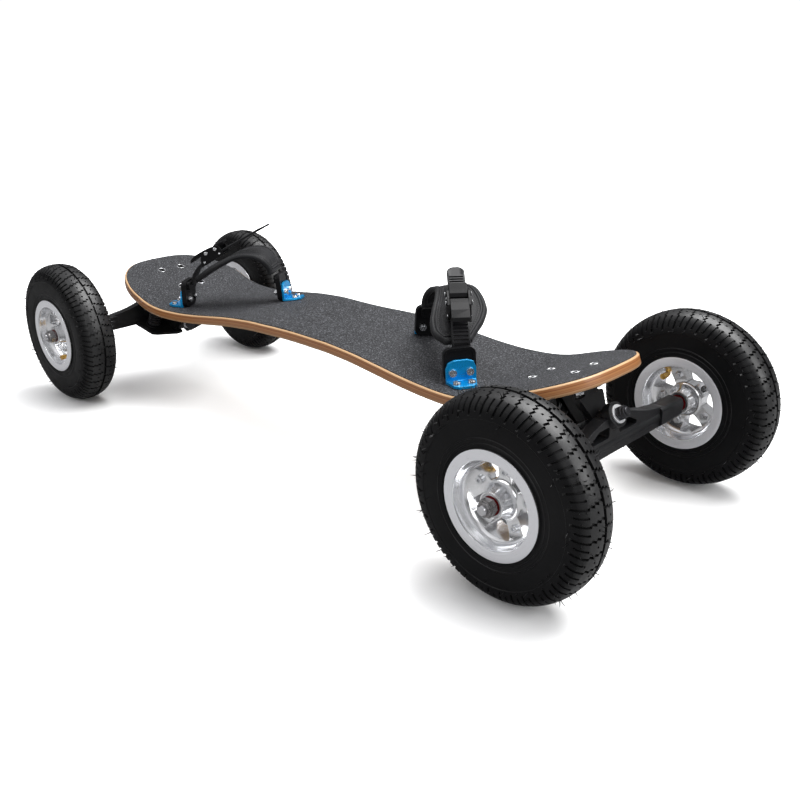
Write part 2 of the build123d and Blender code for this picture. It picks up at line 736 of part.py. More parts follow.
def rim_half(wheel, half):
    """outboard (half=1) or inboard (half=-1) half of the rim"""
    split = 0.01                                # each half stops short of the mid-plane
    # closed outlines: (t, radius)
    barrel = [(split, 38.5), (7, 39.0), (23, 41.3), (RIM_FLANGE_T, RIM_RING_IN),
              (RIM_FLANGE_T, RIM_FLANGE_R), (24.2, RIM_FLANGE_R), (24.2, 47.5), (18, 47.5),
              (15, 45.6), (split, 45.6), (split, 38.5)]
    disc = [(split, HUB_BORE_R), (split, 39), (DISC_T, 39.4), (DISC_T, 15.6), (10, HUB_R),
            (HUB_FACE, HUB_R), (HUB_FACE, HUB_BORE_R), (split, HUB_BORE_R)]
    window_in_r, window_out_r = 19.0, 37.4
    window_in_half, window_out_half = 15.0, 24.0            # half-angles
    with BuildPart() as rim:
        with BuildSketch(wheel.section):
            for outline in (barrel, disc):
                with BuildLine():
                    Polyline(*[(half * t, r) for t, r in outline])
                make_face()
        revolve(axis=wheel.axis)
        # windows between the spokes
        with BuildSketch(wheel.face(-0.5 if half > 0 else -8.5)):
            for i in range(SPOKES):
                middle = wheel.local_angle(wheel.window_angle + i * 360 / SPOKES)
                in_start = polar(window_in_r, middle - window_in_half)
                in_end = polar(window_in_r, middle + window_in_half)
                out_start = polar(window_out_r, middle - window_out_half)
                out_end = polar(window_out_r, middle + window_out_half)
                with BuildLine(mode=Mode.PRIVATE) as window_line:
                    Line(in_start, out_start)
                    ThreePointArc(out_start, polar(window_out_r, middle), out_end)
                    Line(out_end, in_end)
                    ThreePointArc(in_end, polar(window_in_r, middle), in_start)
                with BuildSketch(mode=Mode.PRIVATE) as window:
                    add(window_line.line)
                    make_face()
                    fillet(window.vertices(), 3.0)
                add(window.sketch)
        extrude(amount=9.0, mode=Mode.SUBTRACT)
        # bearing seat
        with BuildSketch(wheel.face(half * (HUB_FACE - BEARING_W - 0.3))):
            Circle(BEARING_R)
        extrude(amount=half * 10, mode=Mode.SUBTRACT)
        # bolt holes in the spokes
        with BuildSketch(wheel.face(-12)):
            with wheel.spoke_bolts():
                Circle(2.1)
        extrude(amount=24, mode=Mode.SUBTRACT)
        # valve hole
        if half == wheel.valve_half:
            with BuildSketch(Plane(origin=wheel.centre + wheel.valve_sideways * VALVE_T,
                                   z_dir=wheel.valve_radial)):
                Circle(3.1)
            extrude(amount=60, mode=Mode.SUBTRACT)
    return rim.part


def rim_bolts(wheel):
    """round heads with a hex socket outboard, hex nuts inboard"""
    head_h, nut_h, shank_beyond = 3.6, 3.2, 4.2
    with BuildPart() as bolts:
        with BuildSketch(wheel.face(DISC_T + 0.05)):
            with wheel.spoke_bolts():
                Circle(3.6)
        extrude(amount=head_h)
        with BuildSketch(wheel.face(DISC_T + 0.05 + head_h)):
            with wheel.spoke_bolts():
                RegularPolygon(1.9, 6)
        extrude(amount=-2.0, mode=Mode.SUBTRACT)
        with BuildSketch(wheel.face(DISC_T + 0.06)):
            with wheel.spoke_bolts():
                Circle(2.0)
        extrude(amount=-(2 * DISC_T + shank_beyond))
        with BuildSketch(wheel.face(-DISC_T - 0.06)):
            with wheel.spoke_bolts():
                RegularPolygon(3.5, 6, major_radius=False)
        extrude(amount=-nut_h)
    return bolts.part


def bearings(wheel):
    """outer race, inner race and two shields in each end of the hub"""
    seat = HUB_FACE - BEARING_W - 0.25
    # (inner radius, outer radius, from, to), measured outwards from the seat
    rings = [(9.3, BEARING_R - 0.01, 0, BEARING_W),
             (AXLE_R + RUN_CLEARANCE, 6.7, 0, BEARING_W + 0.2),
             (6.72, 9.28, 0.3, 1.0),
             (6.72, 9.28, BEARING_W - 1.0, BEARING_W - 0.3)]
    with BuildPart() as pair:
        for half in (1, -1):
            for inner, outer, start, stop in rings:
                with BuildSketch(wheel.face(half * (seat + start))):
                    ring(outer, inner)
                extrude(amount=half * (stop - start))
    return pair.part


# ------------------------------------------------------------------ brackets and anchors
BRACKET_W, BRACKET_H, BRACKET_T = 33.0, 25.0, 3.0
BRACKET_FOOT = 24.0
ANCHOR_W, ANCHOR_T, ANCHOR_H = 35.0, 6.5, 37.0
ANCHOR_GAP = 0.1                # between the bracket and the anchor
FIT_HOLE_R = 2.6


def upright_plane(bracket, inward):
    """plane along a bracket's upright, inward of the fold; local x across, local y up"""
    return Plane(origin=bracket.origin + bracket.x_dir * inward,
                 x_dir=bracket.y_dir, z_dir=bracket.x_dir)


def brackets():
    """angle brackets: a foot on the deck and an upright plate with rounded shoulders"""
    half_w = BRACKET_W / 2
    foot = [(0, -half_w), (-BRACKET_FOOT + 5, -12.5), (-BRACKET_FOOT, -8),
            (-BRACKET_FOOT, 8), (-BRACKET_FOOT + 5, 12.5), (0, half_w), (0, -half_w)]
    plate = [(-half_w, 0), (half_w, 0), (half_w, BRACKET_H - 9),
             (half_w - 2.6, BRACKET_H - 2.6), (half_w - 9, BRACKET_H),
             (-half_w + 9, BRACKET_H), (-half_w + 2.6, BRACKET_H - 2.6),
             (-half_w, BRACKET_H - 9), (-half_w, 0)]
    with BuildPart() as pair:
        for bracket in BRACKET_PLANES:
            upright = upright_plane(bracket, -BRACKET_T)
            with BuildSketch(bracket):
                with BuildLine():
                    Polyline(*foot)
                make_face()
            extrude(amount=BRACKET_T)
            with BuildSketch(upright):
                with BuildLine():
                    Polyline(*plate)
                make_face()
            extrude(amount=BRACKET_T)
            with BuildSketch(bracket.offset(-5)):
                with Locations(*FOOT_SCREWS):
                    Circle(FIT_HOLE_R)
            extrude(amount=12, mode=Mode.SUBTRACT)
            with BuildSketch(upright.offset(-5)):
                with Locations(*PLATE_SCREWS):
                    Circle(FIT_HOLE_R)
            extrude(amount=14, mode=Mode.SUBTRACT)
    return pair.part


def anchors():
    """rounded plates on the foot side of the uprights, with a lug near the top"""
    middle = (0, ANCHOR_H / 2 + 0.3)
    border = 2.5
    with BuildPart() as pair:
        for bracket in BRACKET_PLANES:
            upright = upright_plane(bracket, ANCHOR_GAP)
            with BuildSketch(upright):
                with Locations(middle):
                    RectangleRounded(ANCHOR_W, ANCHOR_H, 7.5)
            extrude(amount=ANCHOR_T)
            # shallow recess on the bracket side, inside a border
            with BuildSketch(upright):
                with Locations(middle):
                    RectangleRounded(ANCHOR_W - 2 * border, ANCHOR_H - 2 * border, 5.5)
            extrude(amount=0.8, mode=Mode.SUBTRACT)
            with BuildSketch(upright.offset(-2)):
                with Locations(*PLATE_SCREWS):
                    Circle(FIT_HOLE_R)
            extrude(amount=12, mode=Mode.SUBTRACT)
            with BuildSketch(upright.offset(ANCHOR_T - 1.0)):
                with Locations((0, 30.0)):
                    RectangleRounded(24.0, 11.0, 3.0)
            extrude(amount=5.0)
    return pair.part


def screws():
    """deck screws, and plate screws with their nuts; all have tapered heads and hex sockets"""
    with BuildPart() as body:
        for bracket in BRACKET_PLANES:
            upright = upright_plane(bracket, -BRACKET_T)
            with BuildSketch(bracket.offset(BRACKET_T + 0.05)):
                with Locations(*FOOT_SCREWS):
                    Circle(4.4)
            extrude(amount=3.0, taper=12)
            with BuildSketch(bracket.offset(BRACKET_T + 3.1)):
                with Locations(*FOOT_SCREWS):
                    RegularPolygon(1.9, 6)
            extrude(amount=-1.8, mode=Mode.SUBTRACT)
            with BuildSketch(bracket.offset(BRACKET_T + 0.06)):
                with Locations(*FOOT_SCREWS):
                    Circle(BOLT_R)
            extrude(amount=-13.6)
            for spot in PLATE_SCREWS:
                with BuildSketch(upright.offset(-0.05)):
                    with Locations(spot):
                        Circle(4.8)
                extrude(amount=-3.2, taper=14)
                with BuildSketch(upright.offset(-3.3)):
                    with Locations(spot):
                        RegularPolygon(2.0, 6)
                extrude(amount=1.9, mode=Mode.SUBTRACT)
                with BuildSketch(upright.offset(-0.06)):
                    with Locations(spot):
                        Circle(BOLT_R)
                extrude(amount=15.4)
                with BuildSketch(upright.offset(BRACKET_T + ANCHOR_GAP + ANCHOR_T + 0.05)):
                    with Locations(spot):
                        RegularPolygon(4.0, 6, major_radius=False)
                extrude(amount=4.0)
    return body.part


# ------------------------------------------------------------------ pads
PAD_N0, PAD_N1 = -26.0, 48.0
# arch of the pad over the foot: (s, z)
PAD_TOP = [(19, 181), (30, 192.5), (42, 200.5), (61, 210.5), (79, 219), (92, 223),
           (108, 223.5), (121, 219.5), (130, 211), (135, 201), (136.5, 191)]
PAD_UNDER = [(20.5, 178.2), (33, 183), (46, 190.5), (64, 200), (80, 207.5), (92, 211),
             (106, 211.2), (116, 207.5), (122.5, 201), (125.6, 195.5), (126.8, 190)]
# closed outline of each pad in plan, narrow at the ends: (s, -n)
# the rear one lies square to the strap, the front one is skewed with it
REAR_PAD_PLAN = [(14, 5), (14, -14), (26, -22), (40, -27), (60, -36), (80, -42), (104, -42),
                 (124, -34), (134, -22), (141, -20), (141, 12), (134, 16), (124, 22),
                 (104, 26), (60, 26), (38, 22), (24, 12), (14, 5)]
FRONT_PAD_PLAN = [(14, 5), (14, -14), (26, -24), (40, -38), (56, -47), (72, -48), (90, -46),
                  (106, -42), (124, -34), (134, -22), (141, -20), (141, 12), (134, 13),
                  (120, 8), (100, 2), (80, 8), (60, 17), (44, 23), (30, 24), (22, 14),
                  (14, 5)]


def pad(plan):
    with BuildPart() as body:
        with BuildSketch(strap_plane(PAD_N0)):
            with BuildLine():
                Spline(*PAD_TOP)
                Line(PAD_TOP[-1], PAD_UNDER[-1])
                Spline(*PAD_UNDER[::-1])
                Line(PAD_UNDER[0], PAD_TOP[0])
            make_face()
        extrude(amount=PAD_N1 - PAD_N0)
        with BuildSketch(Plane(origin=(RIGHT_X, RIGHT_Y, 150),
                               x_dir=(S_DIR.X, S_DIR.Y, 0), z_dir=(0, 0, 1))):
            with BuildLine():
                Polyline(*plan)
            make_face()
        extrude(amount=100, mode=Mode.INTERSECT)
    return body.part


# ------------------------------------------------------------------ ladder straps
STRAP_N0, STRAP_N1 = -5.5, 14.5
STRAP_MID_N = 0.5 * (STRAP_N0 + STRAP_N1)
# centreline from the right anchor through the buckle to the free tail: (s, z)
STRAP_CENTRE = [(13.2, 172.5), (15.4, 184.5), (24.0, 196.8), (40.0, 208.5), (65.0, 223.0),
                (96.5, 239.5), (128.0, 256.0)]
STRAP_HALF_T = 1.2
TOOTH_HEIGHTS = (1.0, 2.2, 2.2, 1.0)    # above the centreline, one per millimetre
PLAIN_START, PLAIN_END = 8, 16          # lengths without teeth
FRONT_CUT = 30                          # the front strap's tail is shorter by this

# the front strap, its buckle and levers are turned about the strap's root
SKEW = -11.0
ROOT = Vector(RIGHT_X, RIGHT_Y, 0) + S_DIR * 14 + N_DIR * STRAP_MID_N
SKEW_AXIS = Axis((ROOT.X, ROOT.Y, 0), (0, 0, 1))


def spaced_points(knots, step):
    """points every step along a Catmull-Rom curve through the knots"""
    dense = []
    last = len(knots) - 1
    for i in range(last):
        before, start = knots[max(i - 1, 0)], knots[i]
        end, after = knots[i + 1], knots[min(i + 2, last)]
        length = hypot(end[0] - start[0], end[1] - start[1])
        count = max(2, int(length / step * 4))
        for j in range(count):
            t = j / count
            dense.append(tuple(
                0.5 * (2*b + (c - a)*t + (2*a - 5*b + 4*c - d)*t*t
                       + (3*b - a - 3*c + d)*t**3)
                for a, b, c, d in zip(before, start, end, after)))
    dense.append(knots[-1])

    spaced = [dense[0]]
    walked = 0.0
    for here, there in zip(dense, dense[1:]):
        left = hypot(there[0] - here[0], there[1] - here[1])
        while walked + left >= step:
            t = (step - walked) / left
            here = (here[0] + t * (there[0] - here[0]), here[1] + t * (there[1] - here[1]))
            left = hypot(there[0] - here[0], there[1] - here[1])
            spaced.append(here)
            walked = 0.0
        walked += left
    return spaced


STRAP_POINTS = spaced_points(STRAP_CENTRE, 1.0)


def strap_normal(i):
    start = STRAP_POINTS[max(i - 1, 0)]
    end = STRAP_POINTS[min(i + 1, len(STRAP_POINTS) - 1)]
    ds, dz = end[0] - start[0], end[1] - start[1]
    length = hypot(ds, dz)
    return (-dz / length, ds / length)


def ladder_strap(cut):
    """toothed strap whose tail is shortened by cut"""
    count = len(STRAP_POINTS) - cut
    upper, lower = [], []
    for i in range(count):
        ns, nz = strap_normal(i)
        s, z = STRAP_POINTS[i]
        if PLAIN_START < i < count - PLAIN_END:
            height = TOOTH_HEIGHTS[i % 4]
        else:
            height = STRAP_HALF_T
        upper.append((s + ns * height, z + nz * height))
        if i % 3 == 0 or i == count - 1:
            lower.append((s - ns * STRAP_HALF_T, z - nz * STRAP_HALF_T))
    with BuildPart() as strap:
        with BuildSketch(strap_plane(STRAP_N0)):
            with BuildLine():
                Polyline(*(upper + lower[::-1] + [upper[0]]))
            make_face()
        extrude(amount=STRAP_N1 - STRAP_N0)
    return strap.part


def skewed(part, trim=None):
    """part turned with the front strap, less trim"""
    turned = part.rotate(SKEW_AXIS, SKEW)
    with BuildPart() as body:
        add(turned)
        if trim is not None:
            add(trim, mode=Mode.SUBTRACT)
    return body.part


# ------------------------------------------------------------------ ratchet buckle
# Places on the buckle are given along the strap and above its centreline, starting from a
# knot of the centreline.
BUCKLE_START, BUCKLE_AIM = STRAP_CENTRE[3], STRAP_CENTRE[4]
BUCKLE_ANGLE = atan2(BUCKLE_AIM[1] - BUCKLE_START[1], BUCKLE_AIM[0] - BUCKLE_START[0])
CHEEK_IN = 10.35                # inner face of a cheek, from the strap's middle
CHEEK_T = 2.2
CHEEK_OUT = CHEEK_IN + CHEEK_T
LEVER_HALF_W = CHEEK_IN - 0.35
PIN_R = 1.6
RATCHET_PIVOT = (4.0, 8.6)
RELEASE_PIVOT = (19.0, 7.2)

# closed side outlines: (along, above)
BUCKLE_FLOOR = [(-12, -4.6), (24, -4.6), (27, -3.6), (27, -2.1), (-12, -2.1), (-12, -4.6)]
BUCKLE_CHEEK = [(-12, -4.6), (24, -4.6), (26.5, 0), (25, 9.5), (20, 11.5), (8, 12.5),
                (-2, 12.0), (-9, 5), (-12, -4.6)]
RATCHET_LEVER = [(8.3, 6.0), (9.0, 10.2), (6.0, 13.0), (-1.0, 14.2), (-12, 14.6),
                 (-22, 12.8), (-25, 9.6), (-24, 8.2), (-14, 9.6), (-5, 8.2), (1.0, 4.4),
                 (5.0, 4.0), (8.3, 6.0)]
RELEASE_LEVER = [(13.2, 4.6), (15.0, 3.6), (21.5, 4.4), (24.0, 7.0), (31.5, 10.0),
                 (31.0, 12.2), (22.5, 11.0), (17.0, 10.4), (13.6, 8.0), (13.2, 4.6)]


def buckle_point(along, above):
    """(s, z) of a place on the buckle"""
    return (BUCKLE_START[0] + along * cos(BUCKLE_ANGLE) - above * sin(BUCKLE_ANGLE),
            BUCKLE_START[1] + along * sin(BUCKLE_ANGLE) + above * cos(BUCKLE_ANGLE))


def buckle_outline(points):
    return [buckle_point(*p) for p in points]


def buckle():
    """floor under the strap, two cheeks and two riveted pivot pins"""
    pin_beyond = 1.0
    rivet_r, rivet_h = 2.7, 1.6
    with BuildPart() as body:
        with BuildSketch(strap_plane(STRAP_MID_N - CHEEK_OUT)):
            with BuildLine():
                Polyline(*buckle_outline(BUCKLE_FLOOR))
            make_face()
        extrude(amount=2 * CHEEK_OUT)
        for n in (STRAP_MID_N - CHEEK_OUT, STRAP_MID_N + CHEEK_IN):
            with BuildSketch(strap_plane(n)):
                with BuildLine():
                    Polyline(*buckle_outline(BUCKLE_CHEEK))
                make_face()
            extrude(amount=CHEEK_T)
        for pivot in (RATCHET_PIVOT, RELEASE_PIVOT):
            with BuildSketch(strap_plane(STRAP_MID_N - CHEEK_OUT - pin_beyond)):
                with Locations(buckle_point(*pivot)):
                    Circle(PIN_R)
            extrude(amount=2 * (CHEEK_OUT + pin_beyond))
            for n in (STRAP_MID_N - CHEEK_OUT - rivet_h, STRAP_MID_N + CHEEK_OUT):
                with BuildSketch(strap_plane(n)):
                    with Locations(buckle_point(*pivot)):
                        Circle(rivet_r)
                extrude(amount=rivet_h)
    return body.part


def lever(outline, pivot):
    with BuildPart() as body:
        with BuildSketch(strap_plane(STRAP_MID_N - LEVER_HALF_W)):
            with BuildLine():
                Polyline(*buckle_outline(outline))
            make_face()
            with Locations(buckle_point(*pivot)):
                Circle(PIN_R + 0.06, mode=Mode.SUBTRACT)
        extrude(amount=2 * LEVER_HALF_W)
    return body.part


# ------------------------------------------------------------------ build and export
grip_space = above_wood()
save("deck", deck(grip_space))
save("grip_tape", grip_tape(grip_space))
save("deck_bolts", deck_bolts())
save("deck_nuts", deck_nuts())

TRUCK_PIECES = {"base": truck_base, "hanger": hanger, "axle": axle, "kingpin": kingpin,
                "kingpin_nut": kingpin_nut, "kingpin_washers": kingpin_washers,
                "pivot_bushes": pivot_bushes, "springs": springs, "axle_nuts": axle_nuts}
for name, build in TRUCK_PIECES.items():
    front_piece = build()
    save("front_" + name, front_piece)
    save("rear_" + name, turned_to_rear(front_piece))

# (x, side, window angle, valve angle, valve half)
WHEELS = {"front_right": (WHEELBASE_HALF, -1, 48.0, 130.0, -1),
          "front_left": (WHEELBASE_HALF, 1, 2.0, 128.0, -1),
          "rear_right": (-WHEELBASE_HALF, -1, 0.0, -72.0, 1),
          "rear_left": (-WHEELBASE_HALF, 1, 30.0, 102.0, 1)}
for name, placing in WHEELS.items():
    wheel = Wheel(*placing)
    save(name + "_tyre", tyre(wheel))
    save(name + "_inner_tube", inner_tube(wheel))
    save(name + "_rim_outer", rim_half(wheel, 1))
    save(name + "_rim_inner", rim_half(wheel, -1))
    save(name + "_rim_bolts", rim_bolts(wheel))
    save(name + "_bearings", bearings(wheel))

strap_anchors = both_feet(anchors())
save("binding_brackets", both_feet(brackets()))
save("strap_anchors", strap_anchors)
save("bracket_screws", both_feet(screws()))
save("front_pad", pad(FRONT_PAD_PLAN))
save("rear_pad", for_rear_foot(pad(REAR_PAD_PLAN)))
# the front strap's turned corner is trimmed where it meets the anchor
save("front_ladder_strap", skewed(ladder_strap(FRONT_CUT), trim=strap_anchors))
save("rear_ladder_strap", for_rear_foot(ladder_strap(0)))

BUCKLE_PIECES = {"buckle": buckle(),
                 "ratchet_lever": lever(RATCHET_LEVER, RATCHET_PIVOT),
                 "release_lever": lever(RELEASE_LEVER, RELEASE_PIVOT)}
for name, piece in BUCKLE_PIECES.items():
    save("front_" + name, skewed(piece))
    save("rear_" + name, for_rear_foot(piece))
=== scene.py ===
# A four-wheeled mountain board with two foot bindings, standing on the floor at z = 0.
# X runs along the board with the front at +X, Y runs across it with the left side at +Y,
# and Z is up. The board is centred on X = Y = 0.
# Shapes are worked out in millimetres and built in metres. Materials, lights and the
# camera are in metres.

import bpy
import bmesh
import math
import numpy as np
from mathutils import Vector, Matrix
from mathutils.bvhtree import BVHTree

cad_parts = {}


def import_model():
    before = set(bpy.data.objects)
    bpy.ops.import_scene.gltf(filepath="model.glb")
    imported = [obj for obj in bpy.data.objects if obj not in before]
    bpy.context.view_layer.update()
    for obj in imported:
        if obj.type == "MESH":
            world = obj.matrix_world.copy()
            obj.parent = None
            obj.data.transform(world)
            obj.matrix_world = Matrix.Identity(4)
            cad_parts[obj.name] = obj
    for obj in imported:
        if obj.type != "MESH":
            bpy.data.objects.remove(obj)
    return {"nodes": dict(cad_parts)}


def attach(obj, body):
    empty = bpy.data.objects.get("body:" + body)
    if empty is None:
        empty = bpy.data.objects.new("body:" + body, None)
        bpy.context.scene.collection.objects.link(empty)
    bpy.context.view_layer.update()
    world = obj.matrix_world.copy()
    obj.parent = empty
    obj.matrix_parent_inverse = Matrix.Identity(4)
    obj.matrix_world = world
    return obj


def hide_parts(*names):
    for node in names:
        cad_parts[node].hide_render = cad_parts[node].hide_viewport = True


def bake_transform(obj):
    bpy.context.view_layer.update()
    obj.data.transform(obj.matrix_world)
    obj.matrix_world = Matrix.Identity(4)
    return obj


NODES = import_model()["nodes"]
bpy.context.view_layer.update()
SCENE = bpy.context.scene
SCENE.view_settings.view_transform = "Standard"
SCENE.view_settings.look = "None"

PI = math.pi
rad = math.radians
MM = 0.001
ENDS = (("front", 1), ("rear", -1))     # name and sign of X

# Wheels
WHEEL_X = 405.7         # axles, before and behind the middle
TRACK = 162.0           # middle of a tyre from the board's centre line
AXLE_Z = 100.0

# name, X sign, Y sign, angle of the first rim window (degrees), angle of the valve
# (degrees), rim half the valve passes through (1 outer, -1 inner)
WHEELS = [
    ("front_right", 1, -1, 48.0, 130.0, -1),
    ("front_left", 1, 1, 2.0, 128.0, -1),
    ("rear_right", -1, -1, 0.0, -72.0, 1),
    ("rear_left", -1, 1, 30.0, 102.0, 1),
]


# ---------------------------------------------------------------------------------------
# Mesh helpers. Shapes are pairs of points (mm) and faces.
# ---------------------------------------------------------------------------------------

def mesh_obj(name, verts, faces, mat=None, sharp=35.0, fix=True, weld=0.0, smooth=True):
    """object from points in mm; sharp is the angle in degrees above which edges stay hard"""
    mesh = bpy.data.meshes.new(name)
    points = (np.asarray(verts, float) * MM).tolist()
    mesh.from_pydata(points, [], [tuple(int(i) for i in f) for f in faces])
    mesh.validate()
    if fix:
        bm = bmesh.new()
        bm.from_mesh(mesh)
        if weld > 0:
            bmesh.ops.remove_doubles(bm, verts=bm.verts, dist=weld * MM)
        bmesh.ops.recalc_face_normals(bm, faces=bm.faces)
        bm.to_mesh(mesh)
        bm.free()
    if smooth:
        shade(mesh, sharp)
    ob = bpy.data.objects.new(name, mesh)
    SCENE.collection.objects.link(ob)
    if mat is not None:
        mesh.materials.append(mat)
    return ob


def shade(mesh, sharp):
    mesh.shade_smooth()
    if sharp is not None:
        mesh.set_sharp_from_angle(angle=rad(sharp))


def register(ob, body=None, replaces=None):
    if replaces:
        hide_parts(replaces)
    if body:
        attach(ob, body)


def grid_faces(rows, cols, wrap_c=False, wrap_r=False, off=0):
    faces = []
    for i in range(rows if wrap_r else rows - 1):
        i2 = (i + 1) % rows
        for j in range(cols if wrap_c else cols - 1):
            j2 = (j + 1) % cols
            faces.append((off + i * cols + j, off + i * cols + j2,
                          off + i2 * cols + j2, off + i2 * cols + j))
    return faces


def ring_faces(rings, count):
    """faces of a solid made of rings of count points, closed by a face at each end"""
    last = (rings - 1) * count
    return grid_faces(rings, count, wrap_c=True) + [
        tuple(range(count))[::-1],
        tuple(last + k for k in range(count)),
    ]


def ring_solid(rings):
    return np.concatenate(rings), ring_faces(len(rings), len(rings[0]))


def sheet_solid(top, bottom, rows, cols):
    """closed solid between two nets of rows x cols points"""
    off = len(top)
    faces = grid_faces(rows, cols)
    faces += [tuple(reversed(f)) for f in grid_faces(rows, cols, off=off)]
    for i in range(rows - 1):
        a, b = i * cols, (i + 1) * cols
        faces.append((a, b, off + b, off + a))
        a, b = a + cols - 1, b + cols - 1
        faces.append((b, a, off + a, off + b))
    last = (rows - 1) * cols
    for j in range(cols - 1):
        faces.append((j + 1, j, off + j, off + j + 1))
        faces.append((last + j, last + j + 1, off + last + j + 1, off + last + j))
    return np.concatenate([top, bottom]), faces


def join(parts):
    verts, faces, off = [], [], 0
    for part_verts, part_faces in parts:
        verts.append(np.asarray(part_verts, float))
        faces += [tuple(i + off for i in f) for f in part_faces]
        off += len(part_verts)
    return np.concatenate(verts), faces


def turn(count):
    """count angles round a full circle"""
    return np.linspace(0, 2 * PI, count, endpoint=False)


def circle(centre, radius, axis_a, axis_b, count):
    angle = turn(count)[:, None]
    return centre + radius * (np.cos(angle) * axis_a + np.sin(angle) * axis_b)


def hermite(t, start, start_slope, end, end_slope):
    return ((2 * t**3 - 3 * t * t + 1) * start + (t**3 - 2 * t * t + t) * start_slope
            + (-2 * t**3 + 3 * t * t) * end + (t**3 - t * t) * end_slope)


def path_lengths(points):
    """distance along a path at each of its points"""
    return np.r_[0, np.cumsum(np.linalg.norm(np.diff(points, axis=0), axis=1))]


def smooth_curve(points, count, closed=False):
    """count points evenly spaced along a centripetal Catmull-Rom curve through points"""
    steps = 24
    p = np.asarray(points, float)
    total = len(p)
    out = []
    for i in range(total if closed else total - 1):
        if closed:
            a, b, c, d = (p[(i + k) % total] for k in (-1, 0, 1, 2))
        else:
            b, c = p[i], p[i + 1]
            a = p[i - 1] if i else 2 * b - c
            d = p[i + 2] if i + 2 < total else 2 * c - b
        t1, t2, t3 = (max(np.linalg.norm(v), 1e-6) ** 0.5 for v in (b - a, c - b, d - c))
        slope_b = ((b - a) / t1 - (c - a) / (t1 + t2) + (c - b) / t2) * t2
        slope_c = ((c - b) / t2 - (d - b) / (t2 + t3) + (d - c) / t3) * t2
        out += [hermite(k / steps, b, slope_b, c, slope_c) for k in range(steps)]
    out.append(p[0] if closed else p[-1])
    out = np.array(out)
    length = path_lengths(out)
    if closed:
        wanted = np.linspace(0, length[-1], count + 1)[:-1]
    else:
        wanted = np.linspace(0, length[-1], count)
    return np.stack([np.interp(wanted, length, out[:, k]) for k in range(out.shape[1])], 1)


def tube(path, radius, sides=10, closed=False, up=None):
    """round tube along a path; radius is a number or one per point"""
    p = np.asarray(path, float)
    n = len(p)
    r = np.broadcast_to(np.asarray(radius, float), (n,))
    if closed:
        tangent = np.roll(p, -1, 0) - np.roll(p, 1, 0)
    else:
        tangent = np.gradient(p, axis=0)
    tangent /= np.linalg.norm(tangent, axis=1)[:, None] + 1e-12
    if up is None:
        up = [0, 0, 1] if abs(tangent[0][2]) < 0.9 else [1, 0, 0]
    first = np.cross(tangent[0], np.array(up, float))
    normals = [first / np.linalg.norm(first)]
    for i in range(1, n):
        v = normals[-1] - tangent[i] * np.dot(normals[-1], tangent[i])
        normals.append(v / np.linalg.norm(v))
    A = np.array(normals)
    if closed:
        # spread the closing twist over the loop
        side = np.cross(tangent[0], A[0])
        v = A[-1] - tangent[0] * np.dot(A[-1], tangent[0])
        v /= np.linalg.norm(v)
        twist = math.atan2(np.dot(v, side), np.dot(v, A[0]))
        B = np.cross(tangent, A)
        k = -twist * np.arange(n) / n
        A = A * np.cos(k)[:, None] + B * np.sin(k)[:, None]
    B = np.cross(tangent, A)
    angle = turn(sides)[None, :, None]
    round_ = A[:, None, :] * np.cos(angle) + B[:, None, :] * np.sin(angle)
    verts = (p[:, None, :] + r[:, None, None] * round_).reshape(-1, 3)
    if closed:
        return verts, grid_faces(n, sides, wrap_c=True, wrap_r=True)
    return verts, ring_faces(n, sides)


def rounded(points, radii, steps):
    """polygon with its corners rounded, one radius per corner"""
    p = np.asarray(points, float)
    out = []
    for i, radius in enumerate(radii):
        corner = p[i]
        if radius <= 0:
            out.append(corner)
            continue
        u, w = p[i - 1] - corner, p[(i + 1) % len(p)] - corner
        len_u, len_w = np.linalg.norm(u), np.linalg.norm(w)
        u, w = u / len_u, w / len_w
        angle = math.acos(float(u @ w))
        cut = min(radius / math.tan(angle / 2), len_u * 0.48, len_w * 0.48)
        start, end = corner + u * cut, corner + w * cut
        for j in range(steps + 1):
            t = j / steps
            out.append((1 - t) ** 2 * start + 2 * t * (1 - t) * corner + t * t * end)
    return np.array(out)


def lathe(profile, sides):
    """closed ring solid round local Y from a closed profile of (y, radius)"""
    p = np.asarray(profile, float)
    angle = turn(sides)[None]
    radius = p[:, None, 1]
    y = np.repeat(p[:, 0][:, None], sides, 1)
    verts = np.stack([radius * np.cos(angle), y, radius * np.sin(angle)], -1).reshape(-1, 3)
    return verts, grid_faces(len(p), sides, wrap_c=True, wrap_r=True)


def bool_cut(ob, cutters):
    cutter = mesh_obj("cut_tmp", *join(cutters), smooth=False)
    cut = ob.modifiers.new("cut", "BOOLEAN")
    cut.operation = "DIFFERENCE"
    cut.solver = "EXACT"
    cut.object = cutter
    bpy.context.view_layer.update()
    graph = bpy.context.evaluated_depsgraph_get()
    mesh = bpy.data.meshes.new_from_object(
        ob.evaluated_get(graph), preserve_all_data_layers=True, depsgraph=graph)
    ob.modifiers.clear()
    old = ob.data
    ob.data = mesh
    mesh.name = ob.name
    bpy.data.meshes.remove(old)
    cutter_mesh = cutter.data
    bpy.data.objects.remove(cutter)
    bpy.data.meshes.remove(cutter_mesh)


def ramp01(value, start, end):
    """0 below start, 1 above end, straight between"""
    return float(np.clip((value - start) / (end - start), 0, 1))


def dress(node, mat, bevel=0.0, segments=2):
    """material and softened edges (bevel in mm) on a CAD node; its points stay as they are"""
    ob = NODES[node]
    ob.data.materials.clear()
    ob.data.materials.append(mat)
    for polygon in ob.data.polygons:
        polygon.material_index = 0
    if bevel > 0:
        weld = ob.modifiers.new("weld", "WELD")
        weld.merge_threshold = 2e-6
        edge = ob.modifiers.new("edge", "BEVEL")
        edge.width = bevel * MM
        edge.segments = segments
        edge.limit_method = "ANGLE"
        edge.angle_limit = rad(28)
        edge.use_clamp_overlap = True
        edge.miter_outer = "MITER_ARC"


